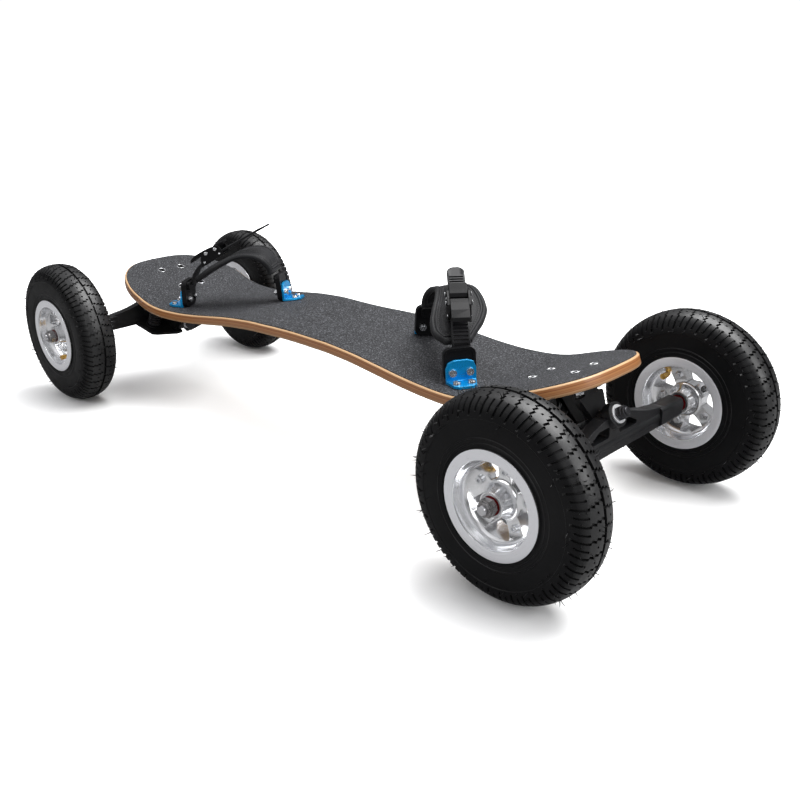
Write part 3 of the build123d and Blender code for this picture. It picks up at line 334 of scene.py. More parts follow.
# ---------------------------------------------------------------------------------------
# Materials
# ---------------------------------------------------------------------------------------

def set_stops(node, stops):
    """fill a colour ramp node from (position, colour) pairs"""
    elements = node.color_ramp.elements
    while len(elements) < len(stops):
        elements.new(0.5)
    for element, (position, colour) in zip(elements, stops):
        element.position = position
        element.color = tuple(colour) + (1.0,)


class Shader:
    """a Principled material with short calls for its nodes"""

    def __init__(self, name):
        self.material = bpy.data.materials.new(name)
        self.material.use_nodes = True
        self.tree = self.material.node_tree
        self.tree.nodes.clear()
        output = self.node("OutputMaterial")
        self.bsdf = self.node("BsdfPrincipled")
        self.tree.links.new(self.bsdf.outputs[0], output.inputs[0])
        self.position = self.node("TexCoord").outputs["Object"]

    def node(self, kind):
        return self.tree.nodes.new("ShaderNode" + kind)

    def put(self, socket, value):
        if isinstance(value, bpy.types.NodeSocket):
            self.tree.links.new(value, socket)
            return
        if isinstance(value, tuple) and len(value) == 3 and len(socket.default_value) == 4:
            value = value + (1.0,)
        socket.default_value = value

    def fill(self, node, *values):
        for i, value in enumerate(values):
            self.put(node.inputs[i], value)
        return node.outputs[0]

    def finish(self, **inputs):
        """set the Principled inputs, named with _ for a space, and return the material"""
        for name, value in inputs.items():
            self.put(self.bsdf.inputs[name.replace("_", " ")], value)
        return self.material

    def math(self, operation, a, b=None):
        node = self.node("Math")
        node.operation = operation
        return self.fill(node, a) if b is None else self.fill(node, a, b)

    def weighted(self, first, second):
        """sum of two (value, weight) pairs"""
        return self.math("ADD", self.math("MULTIPLY", *first), self.math("MULTIPLY", *second))

    def root_sum(self, a, b):
        """length of the vector (a, b)"""
        return self.math("SQRT", self.weighted((a, a), (b, b)))

    def split(self, vector):
        node = self.node("SeparateXYZ")
        self.fill(node, vector)
        return node.outputs

    def coords(self, *parts):
        """vector whose parts are values or (value, factor) pairs"""
        scaled = [self.math("MULTIPLY", *p) if isinstance(p, tuple) else p for p in parts]
        return self.fill(self.node("CombineXYZ"), *scaled)

    def noise(self, scale=1.0, detail=3, rough=0.55, at=None, warp=0.0):
        node = self.node("TexNoise")
        self.put(node.inputs["Vector"], self.position if at is None else at)
        for name, value in (("Scale", scale), ("Detail", detail), ("Roughness", rough),
                            ("Distortion", warp)):
            node.inputs[name].default_value = value
        return node.outputs[0]

    def voronoi(self, scale, feature="F1"):
        node = self.node("TexVoronoi")
        node.feature = feature
        self.put(node.inputs["Vector"], self.position)
        node.inputs["Scale"].default_value = scale
        return node.outputs["Distance"]

    def ramp(self, value, stops):
        node = self.node("ValToRGB")
        set_stops(node, stops)
        return self.fill(node, value)

    def remap(self, value, to, span=(0.3, 0.7)):
        """value over span, mapped to the range to and clamped"""
        return self.fill(self.node("MapRange"), value, *span, *to)

    def mask(self, value, start, end, top=1.0):
        """0 at start, top at end"""
        return self.remap(value, to=(0.0, top), span=(start, end))

    def mix(self, share, base, over):
        node = self.node("Mix")
        node.data_type = "RGBA"
        for index, value in ((0, share), (6, base), (7, over)):
            self.put(node.inputs[index], value)
        return node.outputs[2]

    def attribute(self, name):
        node = self.node("Attribute")
        node.attribute_name = name
        return node.outputs["Fac"]

    def bump(self, height, depth, strength=0.5):
        node = self.node("Bump")
        node.inputs["Strength"].default_value = strength
        node.inputs["Distance"].default_value = depth
        self.put(node.inputs["Height"], height)
        return node.outputs[0]

    def normal(self):
        return self.node("NewGeometry").outputs["Normal"]

    def edge(self, radius, start, end):
        """bright where the bevelled normal leaves the true one, as on edges"""
        bevel = self.node("Bevel")
        bevel.samples = 4
        bevel.inputs[0].default_value = radius
        dot = self.node("VectorMath")
        dot.operation = "DOT_PRODUCT"
        self.fill(dot, self.normal(), bevel.outputs[0])
        return self.mask(dot.outputs[1], start=1.0 - start, end=1.0 - end)

    def round_axle(self, centre):
        """x and z from a wheel's centre, distance from its axle, and the raw y"""
        x, y, z = self.split(self.position)
        dx = self.math("SUBTRACT", x, centre[0])
        dz = self.math("SUBTRACT", z, centre[2])
        return dx, dz, self.root_sum(dx, dz), y


def m_tyre():
    mat = Shader("tyre_rubber")
    big = mat.noise(scale=14)
    fine = mat.noise(scale=900, detail=4)
    colour = mat.ramp(big, [(0.3, (0.0050, 0.0050, 0.0054)), (0.75, (0.0095, 0.0095, 0.0102))])
    height = mat.weighted((fine, 0.6), (mat.noise(scale=240), 0.8))
    # the faces turned sideways shine less
    sideways = mat.math("ABSOLUTE", mat.split(mat.normal())[1])
    return mat.finish(
        Base_Color=colour,
        Roughness=mat.remap(mat.noise(scale=60, detail=4), to=(0.33, 0.46)),
        Normal=mat.bump(height, depth=0.00022),
        Specular_IOR_Level=mat.remap(sideways, to=(0.62, 0.10), span=(0.45, 0.88)))


# share of the deck's thickness from the top, colour of the ply there
PLY_BANDS = [
    (0.0, (0.688, 0.444, 0.236)), (0.13, (0.654, 0.385, 0.186)),
    (0.15, (0.343, 0.130, 0.040)), (0.30, (0.383, 0.151, 0.046)),
    (0.315, (0.218, 0.065, 0.019)), (0.36, (0.238, 0.076, 0.023)),
    (0.375, (0.436, 0.194, 0.065)), (0.52, (0.409, 0.167, 0.052)),
    (0.535, (0.310, 0.119, 0.038)), (0.66, (0.396, 0.178, 0.065)),
    (0.675, (0.264, 0.097, 0.029)), (0.72, (0.284, 0.108, 0.034)),
    (0.735, (0.436, 0.232, 0.101)), (0.86, (0.422, 0.227, 0.101)),
    (0.872, (0.277, 0.124, 0.046)), (0.885, (0.462, 0.270, 0.130)),
    (1.0, (0.449, 0.265, 0.130)),
]


def m_ply():
    """maple plies: attribute ply runs 0 at the top face to 1 at the underside"""
    mat = Shader("maple_plies")
    run = mat.attribute("run")
    x, y, _ = mat.split(mat.position)
    waver = mat.noise(scale=9, detail=2, at=mat.coords((run, 1.0), 0.0, 0.0))
    waver = mat.math("MULTIPLY", mat.math("SUBTRACT", waver, 0.5), 0.035)
    depth = mat.math("ADD", mat.attribute("ply"), waver)
    bands = mat.ramp(depth, PLY_BANDS)
    grain = mat.noise(detail=5, rough=0.65, at=mat.coords((run, 60.0), (depth, 34.0), 0.0))
    pores = mat.noise(detail=3, rough=0.7, at=mat.coords((run, 420.0), (depth, 60.0), 3.0))
    side = mat.mix(mat.mask(grain, start=0.35, end=0.72, top=0.40),
                   base=bands, over=(0.20, 0.085, 0.030))
    side = mat.mix(mat.mask(pores, start=0.60, end=0.78, top=0.35),
                   base=side, over=(0.22, 0.10, 0.04))
    # face veneer of the underside and the rim of the top: grain along the board
    veneer = mat.noise(detail=6, rough=0.6, at=mat.coords((x, 14.0), (y, 240.0), 0.0), warp=0.6)
    figure = mat.noise(detail=3, rough=0.5, at=mat.coords((x, 5.0), (y, 34.0), 0.0), warp=1.2)
    face = mat.ramp(veneer, [(0.25, (0.40, 0.23, 0.105)), (0.5, (0.54, 0.34, 0.17)),
                             (0.75, (0.62, 0.43, 0.24))])
    face = mat.mix(mat.mask(figure, start=0.4, end=0.7, top=0.35),
                   base=face, over=(0.50, 0.30, 0.15))
    height = mat.weighted((grain, 0.5), (veneer, 0.5))
    return mat.finish(
        Base_Color=mat.mix(mat.attribute("face"), base=side, over=face),
        Roughness=mat.remap(grain, to=(0.36, 0.52)),
        Normal=mat.bump(height, depth=0.0002, strength=0.35),
        Coat_Weight=0.35, Coat_Roughness=0.22)


def m_grip():
    mat = Shader("grip_tape")
    cells = mat.voronoi(scale=1150)
    fine = mat.noise(scale=950, detail=2, rough=0.6)
    coarse = mat.noise(scale=600, detail=2, rough=0.6)
    grains = mat.math("SUBTRACT", 1.0, mat.math("MULTIPLY", cells, 1.1))
    colour = mat.ramp(mat.weighted((fine, 0.35), (coarse, 0.65)), [
        (0.40, (0.008, 0.008, 0.0092)), (0.49, (0.022, 0.0225, 0.025)),
        (0.56, (0.054, 0.0555, 0.061)), (0.64, (0.19, 0.194, 0.21))])
    worn = mat.noise(scale=18, detail=4, rough=0.6)
    colour = mat.mix(mat.mask(worn, start=0.45, end=0.75, top=0.18),
                     base=colour, over=(0.085, 0.088, 0.095))
    height = mat.weighted((grains, 0.7), (coarse, 0.6))
    return mat.finish(
        Base_Color=colour,
        Roughness=mat.remap(fine, to=(0.52, 0.82)),
        Normal=mat.bump(height, depth=0.0006, strength=0.9),
        Specular_IOR_Level=0.3)


def m_cast():
    mat = Shader("truck_black")
    skin = mat.noise(scale=520, rough=0.6)
    worn = mat.math("MULTIPLY", mat.edge(radius=0.0009, start=0.02, end=0.3),
                    mat.remap(mat.noise(scale=160, detail=4), to=(0.1, 0.6), span=(0.4, 0.65)))
    return mat.finish(
        Base_Color=mat.mix(worn, base=(0.0085, 0.0088, 0.0098), over=(0.12, 0.12, 0.13)),
        Roughness=mat.remap(mat.noise(scale=40), to=(0.34, 0.48)),
        Normal=mat.bump(skin, depth=0.00022),
        Specular_IOR_Level=0.28, Coat_Weight=0.06, Coat_Roughness=0.3)


def m_metal(name, base, rough, grain=300.0, streak=None, metallic=1.0):
    """streak gives the noise scale along x, y and z in place of an even grain"""
    mat = Shader(name)
    if streak is None:
        texture = mat.noise(scale=grain, detail=4, rough=0.6)
    else:
        at = mat.coords(*zip(mat.split(mat.position), streak))
        texture = mat.noise(detail=4, rough=0.6, at=at)
    dirt = mat.mask(mat.noise(scale=35), start=0.4, end=0.75, top=0.15)
    return mat.finish(
        Base_Color=mat.mix(dirt, base=base, over=tuple(c * 0.5 for c in base)),
        Metallic=metallic,
        Roughness=mat.remap(texture, to=(rough * 0.75, rough * 1.35)),
        Normal=mat.bump(texture, depth=0.00006))


def m_rim(name, centre):
    """flat flange turned and brushed, bowl and spokes polished"""
    mat = Shader(name)
    dx, dz, radius, y = mat.round_axle(centre)
    dy = mat.math("ABSOLUTE", mat.math("SUBTRACT", y, centre[1]))
    angle = mat.math("ARCTAN2", dz, dx)
    lines = mat.noise(detail=4, rough=0.7, at=mat.coords((radius, 2600.0), (angle, 3.0), dy))
    arcs = mat.noise(detail=3, rough=0.6, at=mat.coords((radius, 900.0), (angle, 9.0), 4.0))
    flat = mat.math("MULTIPLY", mat.mask(radius, start=0.0421, end=0.0425),
                    mat.mask(dy, start=0.0262, end=0.0266))
    polish = mat.remap(mat.noise(scale=90), to=(0.17, 0.24), span=(0.35, 0.7))
    rough = mat.weighted((flat, mat.remap(lines, to=(0.26, 0.36))),
                         (mat.math("SUBTRACT", 1.0, flat), polish))
    smudge = mat.mask(mat.noise(scale=48, rough=0.6), start=0.45, end=0.8, top=0.05)
    colour = mat.mix(smudge, base=(0.90, 0.905, 0.92), over=(0.66, 0.67, 0.70))
    colour = mat.mix(flat, base=colour, over=(0.86, 0.865, 0.90))
    height = mat.weighted((lines, mat.math("ADD", 0.03, flat)),
                          (arcs, mat.math("MULTIPLY", flat, 0.5)))
    return mat.finish(
        Base_Color=colour,
        Metallic=mat.math("SUBTRACT", 0.92, mat.math("MULTIPLY", flat, 0.52)),
        Roughness=rough,
        Normal=mat.bump(height, depth=0.00006, strength=0.45))


def m_bearing(name, centre):
    """bright steel with a dark red ring between two radii"""
    mat = Shader(name)
    radius = mat.round_axle(centre)[2]
    shield = mat.math("MULTIPLY", mat.mask(radius, start=0.00671, end=0.00673),
                      mat.remap(radius, to=(1.0, 0.0), span=(0.00927, 0.00929)))
    grime = mat.noise(scale=700)
    red = mat.mix(mat.mask(grime, start=0.4, end=0.7, top=0.4),
                  base=(0.16, 0.008, 0.010), over=(0.05, 0.004, 0.005))
    return mat.finish(
        Base_Color=mat.mix(shield, base=(0.62, 0.62, 0.64), over=red),
        Metallic=mat.math("SUBTRACT", 1.0, shield),
        Roughness=mat.remap(grime, to=(0.22, 0.38)),
        Normal=mat.bump(grime, depth=0.00004, strength=0.4))


def m_tube(name, centre):
    """rubber ring outside a radius, brass stem inside it"""
    mat = Shader(name)
    rubber = mat.mask(mat.round_axle(centre)[2], start=0.0478, end=0.0480)
    tarnish = mat.noise(scale=260, detail=4)
    brass = mat.mix(mat.mask(tarnish, start=0.4, end=0.7, top=0.7),
                    base=(0.80, 0.50, 0.14), over=(0.42, 0.20, 0.05))
    return mat.finish(
        Base_Color=mat.mix(rubber, base=brass, over=(0.014, 0.014, 0.015)),
        Metallic=mat.math("SUBTRACT", 1.0, rubber),
        Roughness=mat.remap(tarnish, to=(0.24, 0.42)),
        Normal=mat.bump(tarnish, depth=0.0001, strength=0.4))


def m_plastic(name, base=(0.006, 0.006, 0.0066), rough=0.30, grain=700.0, depth=0.00012,
              wear=0.25, shine=0.13):
    mat = Shader(name)
    texture = mat.noise(scale=grain, rough=0.6)
    edge = mat.edge(radius=0.0006, start=0.02, end=0.3)
    colour = mat.mix(mat.math("MULTIPLY", edge, wear), base=base, over=(0.11, 0.11, 0.115))
    colour = mat.mix(mat.mask(mat.noise(scale=30), start=0.45, end=0.8, top=0.25),
                     base=colour, over=tuple(c * 1.9 for c in base))
    return mat.finish(
        Base_Color=colour,
        Roughness=mat.remap(texture, to=(rough * 0.85, rough * 1.3)),
        Normal=mat.bump(texture, depth=depth),
        Specular_IOR_Level=shine)


def m_leather():
    mat = Shader("pad_leather")
    cells = mat.voronoi(scale=620, feature="DISTANCE_TO_EDGE")
    wrinkles = mat.noise(scale=210, detail=4, rough=0.6, warp=0.8)
    big = mat.noise(scale=22)
    height = mat.weighted((mat.mask(cells, start=0.0, end=0.12), 0.7), (wrinkles, 0.8))
    colour = mat.ramp(mat.weighted((big, 0.6), (wrinkles, 0.4)),
                      [(0.3, (0.009, 0.0092, 0.0102)), (0.7, (0.021, 0.0214, 0.0235))])
    return mat.finish(
        Base_Color=colour,
        Roughness=mat.remap(wrinkles, to=(0.40, 0.56)),
        Normal=mat.bump(height, depth=0.00022, strength=0.6),
        Specular_IOR_Level=0.2, Sheen_Weight=0.06, Sheen_Roughness=0.4)


def m_thread():
    mat = Shader("thread")
    fibre = mat.noise(scale=2600, detail=2)
    colour = mat.ramp(fibre, [(0.3, (0.03, 0.03, 0.032)), (0.7, (0.085, 0.085, 0.09))])
    return mat.finish(Base_Color=colour, Roughness=0.7, Normal=mat.bump(fibre, depth=0.0001))


def m_anodised():
    mat = Shader("blue_anodised")
    x, y, z = mat.split(mat.position)
    streaks = mat.noise(detail=4, rough=0.6, at=mat.coords((x, 260.0), (y, 1900.0), (z, 1900.0)))
    # mask of the edges that get the painted highlight below
    edge = mat.edge(radius=0.0007, start=0.01, end=0.22)
    colour = mat.mix(mat.mask(streaks, start=0.35, end=0.7, top=0.35),
                     base=(0.004, 0.36, 0.78), over=(0.002, 0.26, 0.62))
    # painted highlight: the bracket's edges are lightened to a pale cyan in place of the glints of
    # light along them
    colour = mat.mix(mat.math("MULTIPLY", edge, 0.75), base=colour, over=(0.30, 0.72, 0.95))
    return mat.finish(
        Base_Color=colour, Metallic=0.6,
        Roughness=mat.remap(streaks, to=(0.24, 0.36)),
        Normal=mat.bump(streaks, depth=0.00005, strength=0.4))


def m_floor():
    """paper that glows to the camera far from the board and round each wheel's foot"""
    mat = Shader("floor_paper")
    paper = mat.noise(scale=30)
    x, y, _ = mat.split(mat.position)
    far = mat.root_sum(x, y)
    near = mat.root_sum(mat.math("SUBTRACT", mat.math("ABSOLUTE", x), WHEEL_X * MM),
                        mat.math("SUBTRACT", mat.math("ABSOLUTE", y), TRACK * MM))
    glow = mat.math("ADD", mat.mask(far, start=0.75, end=1.9),
                    mat.mask(near, start=0.035, end=0.20, top=0.60))
    seen = mat.node("LightPath").outputs["Is Camera Ray"]
    white = mat.ramp(paper, [(0.3, (0.92, 0.92, 0.92)), (0.7, (0.94, 0.94, 0.94))])
    return mat.finish(
        Base_Color=mat.mix(seen, base=(0.30, 0.30, 0.30), over=white),
        Roughness=0.9, Specular_IOR_Level=0.05,
        Emission_Color=(1.0, 1.0, 1.0),
        Emission_Strength=mat.math("MULTIPLY", seen, glow))


TYRE, PLY, GRIP, CAST = m_tyre(), m_ply(), m_grip(), m_cast()
ZINC = m_metal("zinc_steel", base=(0.72, 0.73, 0.75), rough=0.22, grain=420)
BLACK_STEEL = m_metal("black_steel", base=(0.055, 0.055, 0.06), rough=0.34, grain=500,
                      metallic=0.85)
SPRING = m_metal("spring_steel", base=(0.035, 0.035, 0.038), rough=0.32, grain=600,
                 metallic=0.6)
BOLT = m_metal("bolt_steel", base=(0.010, 0.010, 0.011), rough=0.30, grain=500, metallic=0.3)
WASHER = m_metal("washer_zinc", base=(0.88, 0.89, 0.91), rough=0.40, grain=420, metallic=0.7)
NUT = m_metal("nut_steel", base=(0.30, 0.29, 0.29), rough=0.28, grain=420)
AXLE = m_metal("axle_steel", base=(0.60, 0.60, 0.62), rough=0.20,
               streak=(2200.0, 60.0, 2200.0))
BUSH = m_plastic("bush_rubber", base=(0.02, 0.02, 0.021), rough=0.5, grain=500, wear=0.1)
PLASTIC = m_plastic("black_plastic")
STRAP = m_plastic("strap_plastic", base=(0.012, 0.012, 0.0132), rough=0.34, grain=900,
                  depth=0.00008, wear=0.35, shine=0.2)
LEATHER, THREAD, BLUE = m_leather(), m_thread(), m_anodised()
WELT = m_plastic("welt", base=(0.03, 0.03, 0.032), rough=0.34, grain=800, wear=0.3)


# ---------------------------------------------------------------------------------------
# Deck: a wooden slab with rising tips, and the grip sheet on top of it.
# Depths are measured down from the grip's top face.
# ---------------------------------------------------------------------------------------

TIP_SLOPE = 0.3213          # rise of the straight tips
TIP_ANGLE = math.atan(TIP_SLOPE)
TIP_START = (310.0, 149.8)  # distance from the middle and height where a tip starts
FLAT_END = (62.0, 157.4)    # the same where the level middle ends

# distance from the middle, height of the grip's top face
RISE = [FLAT_END, (80, 156.9), (120, 154.2), (160, 149.6), (200, 144.9), (240, 142.3),
        (280, 143.4), TIP_START]
RISE_X, RISE_Z = np.array(RISE, float).T
RISE_SLOPE = np.r_[0.0, (RISE_Z[2:] - RISE_Z[:-2]) / (RISE_X[2:] - RISE_X[:-2]), TIP_SLOPE]

DECK_HALF_LENGTH = 412.3
# x and half width, from near the rear tip to the middle
PLAN = [(-411, 27), (-407, 43.8), (-401, 55.4), (-392, 66.4), (-380, 75.8), (-365, 83.4),
        (-345, 89.6), (-325, 91.9), (-300, 92.0), (-270, 90.2), (-230, 87.1), (-180, 84.7),
        (-120, 82.3), (-60, 79.6), (0, 76.9)]
PLAN_POINTS = 640
RUN_STEP = 0.0038           # attribute run per outline point

# (inset from the outline, depth), from the top's inner edge round the side to the bottom's
WOOD_PROFILE = [(3.4, 1.02), (2.2, 1.02), (1.3, 1.15), (0.62, 1.55), (0.18, 2.2), (0.0, 3.1),
                (0.0, 5.0), (0.0, 7.0), (0.0, 9.0), (0.0, 10.6), (0.2, 11.6), (0.75, 12.35),
                (1.6, 12.85), (3.0, 13.0), (6.0, 13.0)]
GRIP_PROFILE = [(5.0, 0.0), (3.2, 0.0), (2.75, 0.05), (2.5, 0.22), (2.42, 0.6), (2.42, 0.99),
                (5.0, 0.99)]

BOLT_CENTRE = 348.0         # middle of each tip's bolt pattern, from the board's middle
BOLTS = [(x * 27.0, y * 16.5) for x in (-1, 1) for y in (-1, 1)]
BOLT_HOLE = 5.45            # radius at the top of a hole
# (radius, depth) at the two ends of the cut for each bolt
WOOD_CUT = ((BOLT_HOLE, 0.2), (2.7, 14.6))
GRIP_CUT = ((5.8, -1.0), (5.6, 2.0))


def deck_z(x):
    """height and slope of the grip's top face"""
    x = np.abs(np.asarray(x, float))
    level = x <= FLAT_END[0]
    z = np.where(level, FLAT_END[1], TIP_START[1] + TIP_SLOPE * (x - TIP_START[0]))
    slope = np.where(level, 0.0, TIP_SLOPE)
    for i in range(len(RISE) - 1):
        span = RISE_X[i + 1] - RISE_X[i]
        t = (x - RISE_X[i]) / span
        here = (x > RISE_X[i]) & (x <= RISE_X[i + 1])
        z_here = hermite(t, RISE_Z[i], span * RISE_SLOPE[i],
                         RISE_Z[i + 1], span * RISE_SLOPE[i + 1])
        slope_here = ((6 * t * t - 6 * t) * RISE_Z[i] / span
                      + (3 * t * t - 4 * t + 1) * RISE_SLOPE[i]
                      + (6 * t - 6 * t * t) * RISE_Z[i + 1] / span
                      + (3 * t * t - 2 * t) * RISE_SLOPE[i + 1])
        z = np.where(here, z_here, z)
        slope = np.where(here, slope_here, slope)
    return z, slope


def deck_point(x, y, depth):
    z, slope = deck_z(x)
    length = np.sqrt(1 + slope * slope)
    return np.stack([x + depth * slope * np.sign(x) / length, y, z - depth / length], -1)


def deck_outline():
    """outline from the rear tip round by +Y, and its outward normals"""
    left = ([(-DECK_HALF_LENGTH, 0.0)] + PLAN + [(-x, y) for x, y in PLAN[-2::-1]]
            + [(DECK_HALF_LENGTH, 0.0)])
    right = [(x, -y) for x, y in left[-2:0:-1]]
    outline = smooth_curve(left + right, PLAN_POINTS, closed=True)
    tangent = np.roll(outline, -1, 0) - np.roll(outline, 1, 0)
    tangent /= np.linalg.norm(tangent, axis=1)[:, None]
    return outline, np.stack([-tangent[:, 1], tangent[:, 0]], 1)


OUTLINE, OUTWARD = deck_outline()


def slab(name, profile, mat, columns, wood=False):
    """closed slab from a profile; wood adds the attributes its material reads"""
    n = PLAN_POINTS
    half = n // 2
    plans = [OUTLINE - OUTWARD * inset for inset, _ in profile]
    side = np.concatenate([deck_point(plan[:, 0], plan[:, 1], depth)
                           for plan, (_, depth) in zip(plans, profile)])
    faces = grid_faces(len(profile), n, wrap_c=True)
    inside, inside_depth, inside_run = [], [], []
    # fill the top and the bottom with rows running across the board
    for ring in (0, len(profile) - 1):
        base = ring * n
        plan, depth = plans[ring], profile[ring][1]
        ids = np.zeros((half + 1, columns + 1), int)
        for j in range(half + 1):
            left, right = j % n, (-j) % n
            ids[j, :] = base + left
            if left == right:
                continue
            ids[j, columns] = base + right
            for c in range(1, columns):
                x, y = plan[left] + (plan[right] - plan[left]) * (c / columns)
                ids[j, c] = len(side) + len(inside)
                inside.append(deck_point(x, y, depth))
                inside_depth.append(depth)
                inside_run.append(j * RUN_STEP)
        for j in range(half):
            for c in range(columns):
                corners = (ids[j, c], ids[j, c + 1], ids[j + 1, c + 1], ids[j + 1, c])
                face = tuple(dict.fromkeys(corners))
                if len(face) > 2:
                    faces.append(face)
    ob = mesh_obj(name, np.concatenate([side, np.array(inside)]), faces, mat, sharp=45)
    if wood:
        top, bottom = profile[0][1], profile[-1][1]
        depths = np.r_[np.repeat([d for _, d in profile], n), inside_depth]
        runs = np.r_[np.tile(np.arange(n) * RUN_STEP, len(profile)), inside_run]
        # the innermost side rows count as face as well
        face = np.ones(len(depths))
        face[n:(len(profile) - 1) * n] = 0.0
        values = (("ply", (depths - top) / (bottom - top)), ("run", runs), ("face", face))
        for label, value in values:
            attribute = ob.data.attributes.new(label, "FLOAT", "POINT")
            attribute.data.foreach_set("value", np.asarray(value, np.float32))
    return ob


def tip_point(side, along, y, depth):
    """point on a tip: along goes up the slope from the middle of the bolt pattern"""
    cos, sin = math.cos(TIP_ANGLE), math.sin(TIP_ANGLE)
    x = BOLT_CENTRE + along * cos + depth * sin
    z = TIP_START[1] + TIP_SLOPE * (BOLT_CENTRE - TIP_START[0]) + along * sin - depth * cos
    return np.array([side * x, y, z])


def tip_axes(side):
    """up the slope, across, and out of the face"""
    cos, sin = math.cos(TIP_ANGLE), math.sin(TIP_ANGLE)
    return (np.array([side * cos, 0, sin]), np.array([0, 1.0, 0]),
            np.array([-side * sin, 0, cos]))


def cut_bolt_holes(ob, ends):
    cutters = []
    for side in (1, -1):
        slope, across, _ = tip_axes(side)
        for along, y in BOLTS:
            cutters.append(ring_solid([
                circle(tip_point(side, along, y, depth), radius, slope, across, 28)
                for radius, depth in ends]))
    bool_cut(ob, cutters)
    shade(ob.data, 40)


def build_deck():
    deck = slab("deck_shell", WOOD_PROFILE, PLY, columns=26, wood=True)
    cut_bolt_holes(deck, WOOD_CUT)
    register(deck, body="board", replaces="deck")
    grip = slab("grip_sheet", GRIP_PROFILE, GRIP, columns=22)
    cut_bolt_holes(grip, GRIP_CUT)
    register(grip, body="board", replaces="grip_tape")


def build_bolt_rims():
    """a thin bright ring round each bolt hole"""
    wire, sunk = 0.55, 0.12
    parts = []
    for side in (1, -1):
        slope, across, out = tip_axes(side)
        for along, y in BOLTS:
            path = circle(tip_point(side, along, y, sunk), BOLT_HOLE, slope, across, 40)
            parts.append(tube(path, wire, closed=True, up=out))
    rims = mesh_obj("deck_bolt_rims", *join(parts), ZINC, sharp=None)
    register(rims, body="board")


# ---------------------------------------------------------------------------------------
# Tyres. A section point is (distance from the tyre's middle plane, radius), and s is the
# distance along the section from the crown.
# ---------------------------------------------------------------------------------------

TYRE_RADIUS, TYRE_HALF_WIDTH = 100.0, 26.0
SECTION = smooth_curve([(0, 100), (4.5, 99.8), (9, 99.2), (13.5, 97.8), (17.5, 95.8),
                        (22.6, 90.5), (25.4, 82), (26, 72), (25.4, 60), (24.0, 52.9)], 400)
SECTION = np.minimum(SECTION, (TYRE_HALF_WIDTH, TYRE_RADIUS))
SECTION_S = path_lengths(SECTION)

# the beads and the inside, up to the middle plane
LINER_HALF = [(24.0, 50.6), (23.9, 48.4), (23.3, 47.75), (19.2, 47.7), (18.7, 48.4),
              (20.0, 55), (21.2, 72), (19.6, 84), (12, 91.4), (0, 93.2)]
LINER = LINER_HALF + [(-t, r) for t, r in LINER_HALF[-2::-1]]

# s of each row of points
TREAD_ROWS = [
    0.0, 1.35, 1.75, 2.7, 3.8, 5.2, 5.9, 7.3, 7.65, 8.9, 9.25, 10.2, 10.9, 12.4, 13.9, 15.4,
    16.1, 16.8, 17.2, 18.4, 20.0, 21.6, 22.0, 23.6, 25.4, 27.2, 29.0, 30.6, 31.0, 32.6, 34.2,
    34.7, 36.4, 37.4, 37.8, 38.3, 38.7, 40.4, 43.0, 46.0, 49.0, 52.0, 54.2, 54.6, 55.2, 55.6,
    57.8, 59.2, 59.6, 60.6, 61.0, 62.4]
BLOCKS = 40                 # tread blocks round the tyre
PITCH = 15.4                # length of a block, in the units of BLOCK_COLUMNS
BLOCK_COLUMNS = [-1.3, -0.95, 0.95, 1.3, 2.9, 4.9, 6.6, 6.95, 8.5, 8.85, 10.6, 12.5]
STAGGER_END = 1.15          # s where the second side's half-block offset is full
# sideways run of the lateral groove, by s
ZIGZAG_S = [0, STAGGER_END, 5.2, 5.9, 10.2, 10.9, 15.4, 16.1, 20, 27, 34.5, 40]
ZIGZAG_SHIFT = [0, 0.2, 1.7, -1.1, 0.5, -2.3, -0.6, -3.0, -2.7, -1.6, 0.4, 0.4]

CENTRE_END = 1.36           # s where the centre groove ends
GROOVE_DEPTH = 2.7          # centre groove and lateral groove on the crown
SHOULDER_DEPTH = 2.1        # lateral groove on the shoulder, and the dimples
SHOULDER_START = 16.5
SHORT_DEPTH = 1.8           # short shoulder grooves between the lateral ones
SIDEWALL_STEP = 0.55
# start, end and height of the raised rings on the sidewall
SIDEWALL_RINGS = [(54.5, 55.3, 0.55), (59.5, 60.7, 0.7)]

HAIR_COUNT = 230
HAIR_S = [3.2, 13.2, 19.2, 24.5, 30.0, 36.0, 40.0]
HAIR_SHARE = [0.10, 0.12, 0.16, 0.2, 0.18, 0.16, 0.08]
HAIR_ROOT = 0.9             # length sunk in the rubber
# share of the length, radius there
HAIR_TAPER = [(0, 0.55), (0.2, 0.45), (0.45, 0.38), (0.7, 0.30), (1.0, 0.14)]


def section_at(s):
    """section point at s and its outward normal, both as (t, r)"""
    reach = 0.2
    t, t_before, t_after = (np.interp(s + d, SECTION_S, SECTION[:, 0])
                            for d in (0, -reach, reach))
    r, r_before, r_after = (np.interp(s + d, SECTION_S, SECTION[:, 1])
                            for d in (0, -reach, reach))
    dt, dr = t_after - t_before, r_after - r_before
    length = np.hypot(dt, dr) + 1e-9
    return t, r, -dr / length, dt / length


def tread_depth(s, column):
    lateral = abs(column) < 0.97
    middle = 6.9 < column < 8.55
    depth = 0.0
    if s <= CENTRE_END:
        depth = GROOVE_DEPTH
    if lateral and 1.5 < s < 34.6:
        groove = GROOVE_DEPTH if s < SHOULDER_START else SHOULDER_DEPTH
        depth = max(depth, groove * (1 - ramp01(s, 33.0, 34.6)))
    if middle and 7.5 < s < 9.0:
        depth = max(depth, SHOULDER_DEPTH)
    if middle and 17.0 < s < 30.8:
        depth = max(depth, SHORT_DEPTH)
    if s >= 37.7:
        depth += SIDEWALL_STEP * ramp01(s, 37.4, 37.9)
    for start, end, height in SIDEWALL_RINGS:
        if start < s < end:
            depth -= height
    return depth


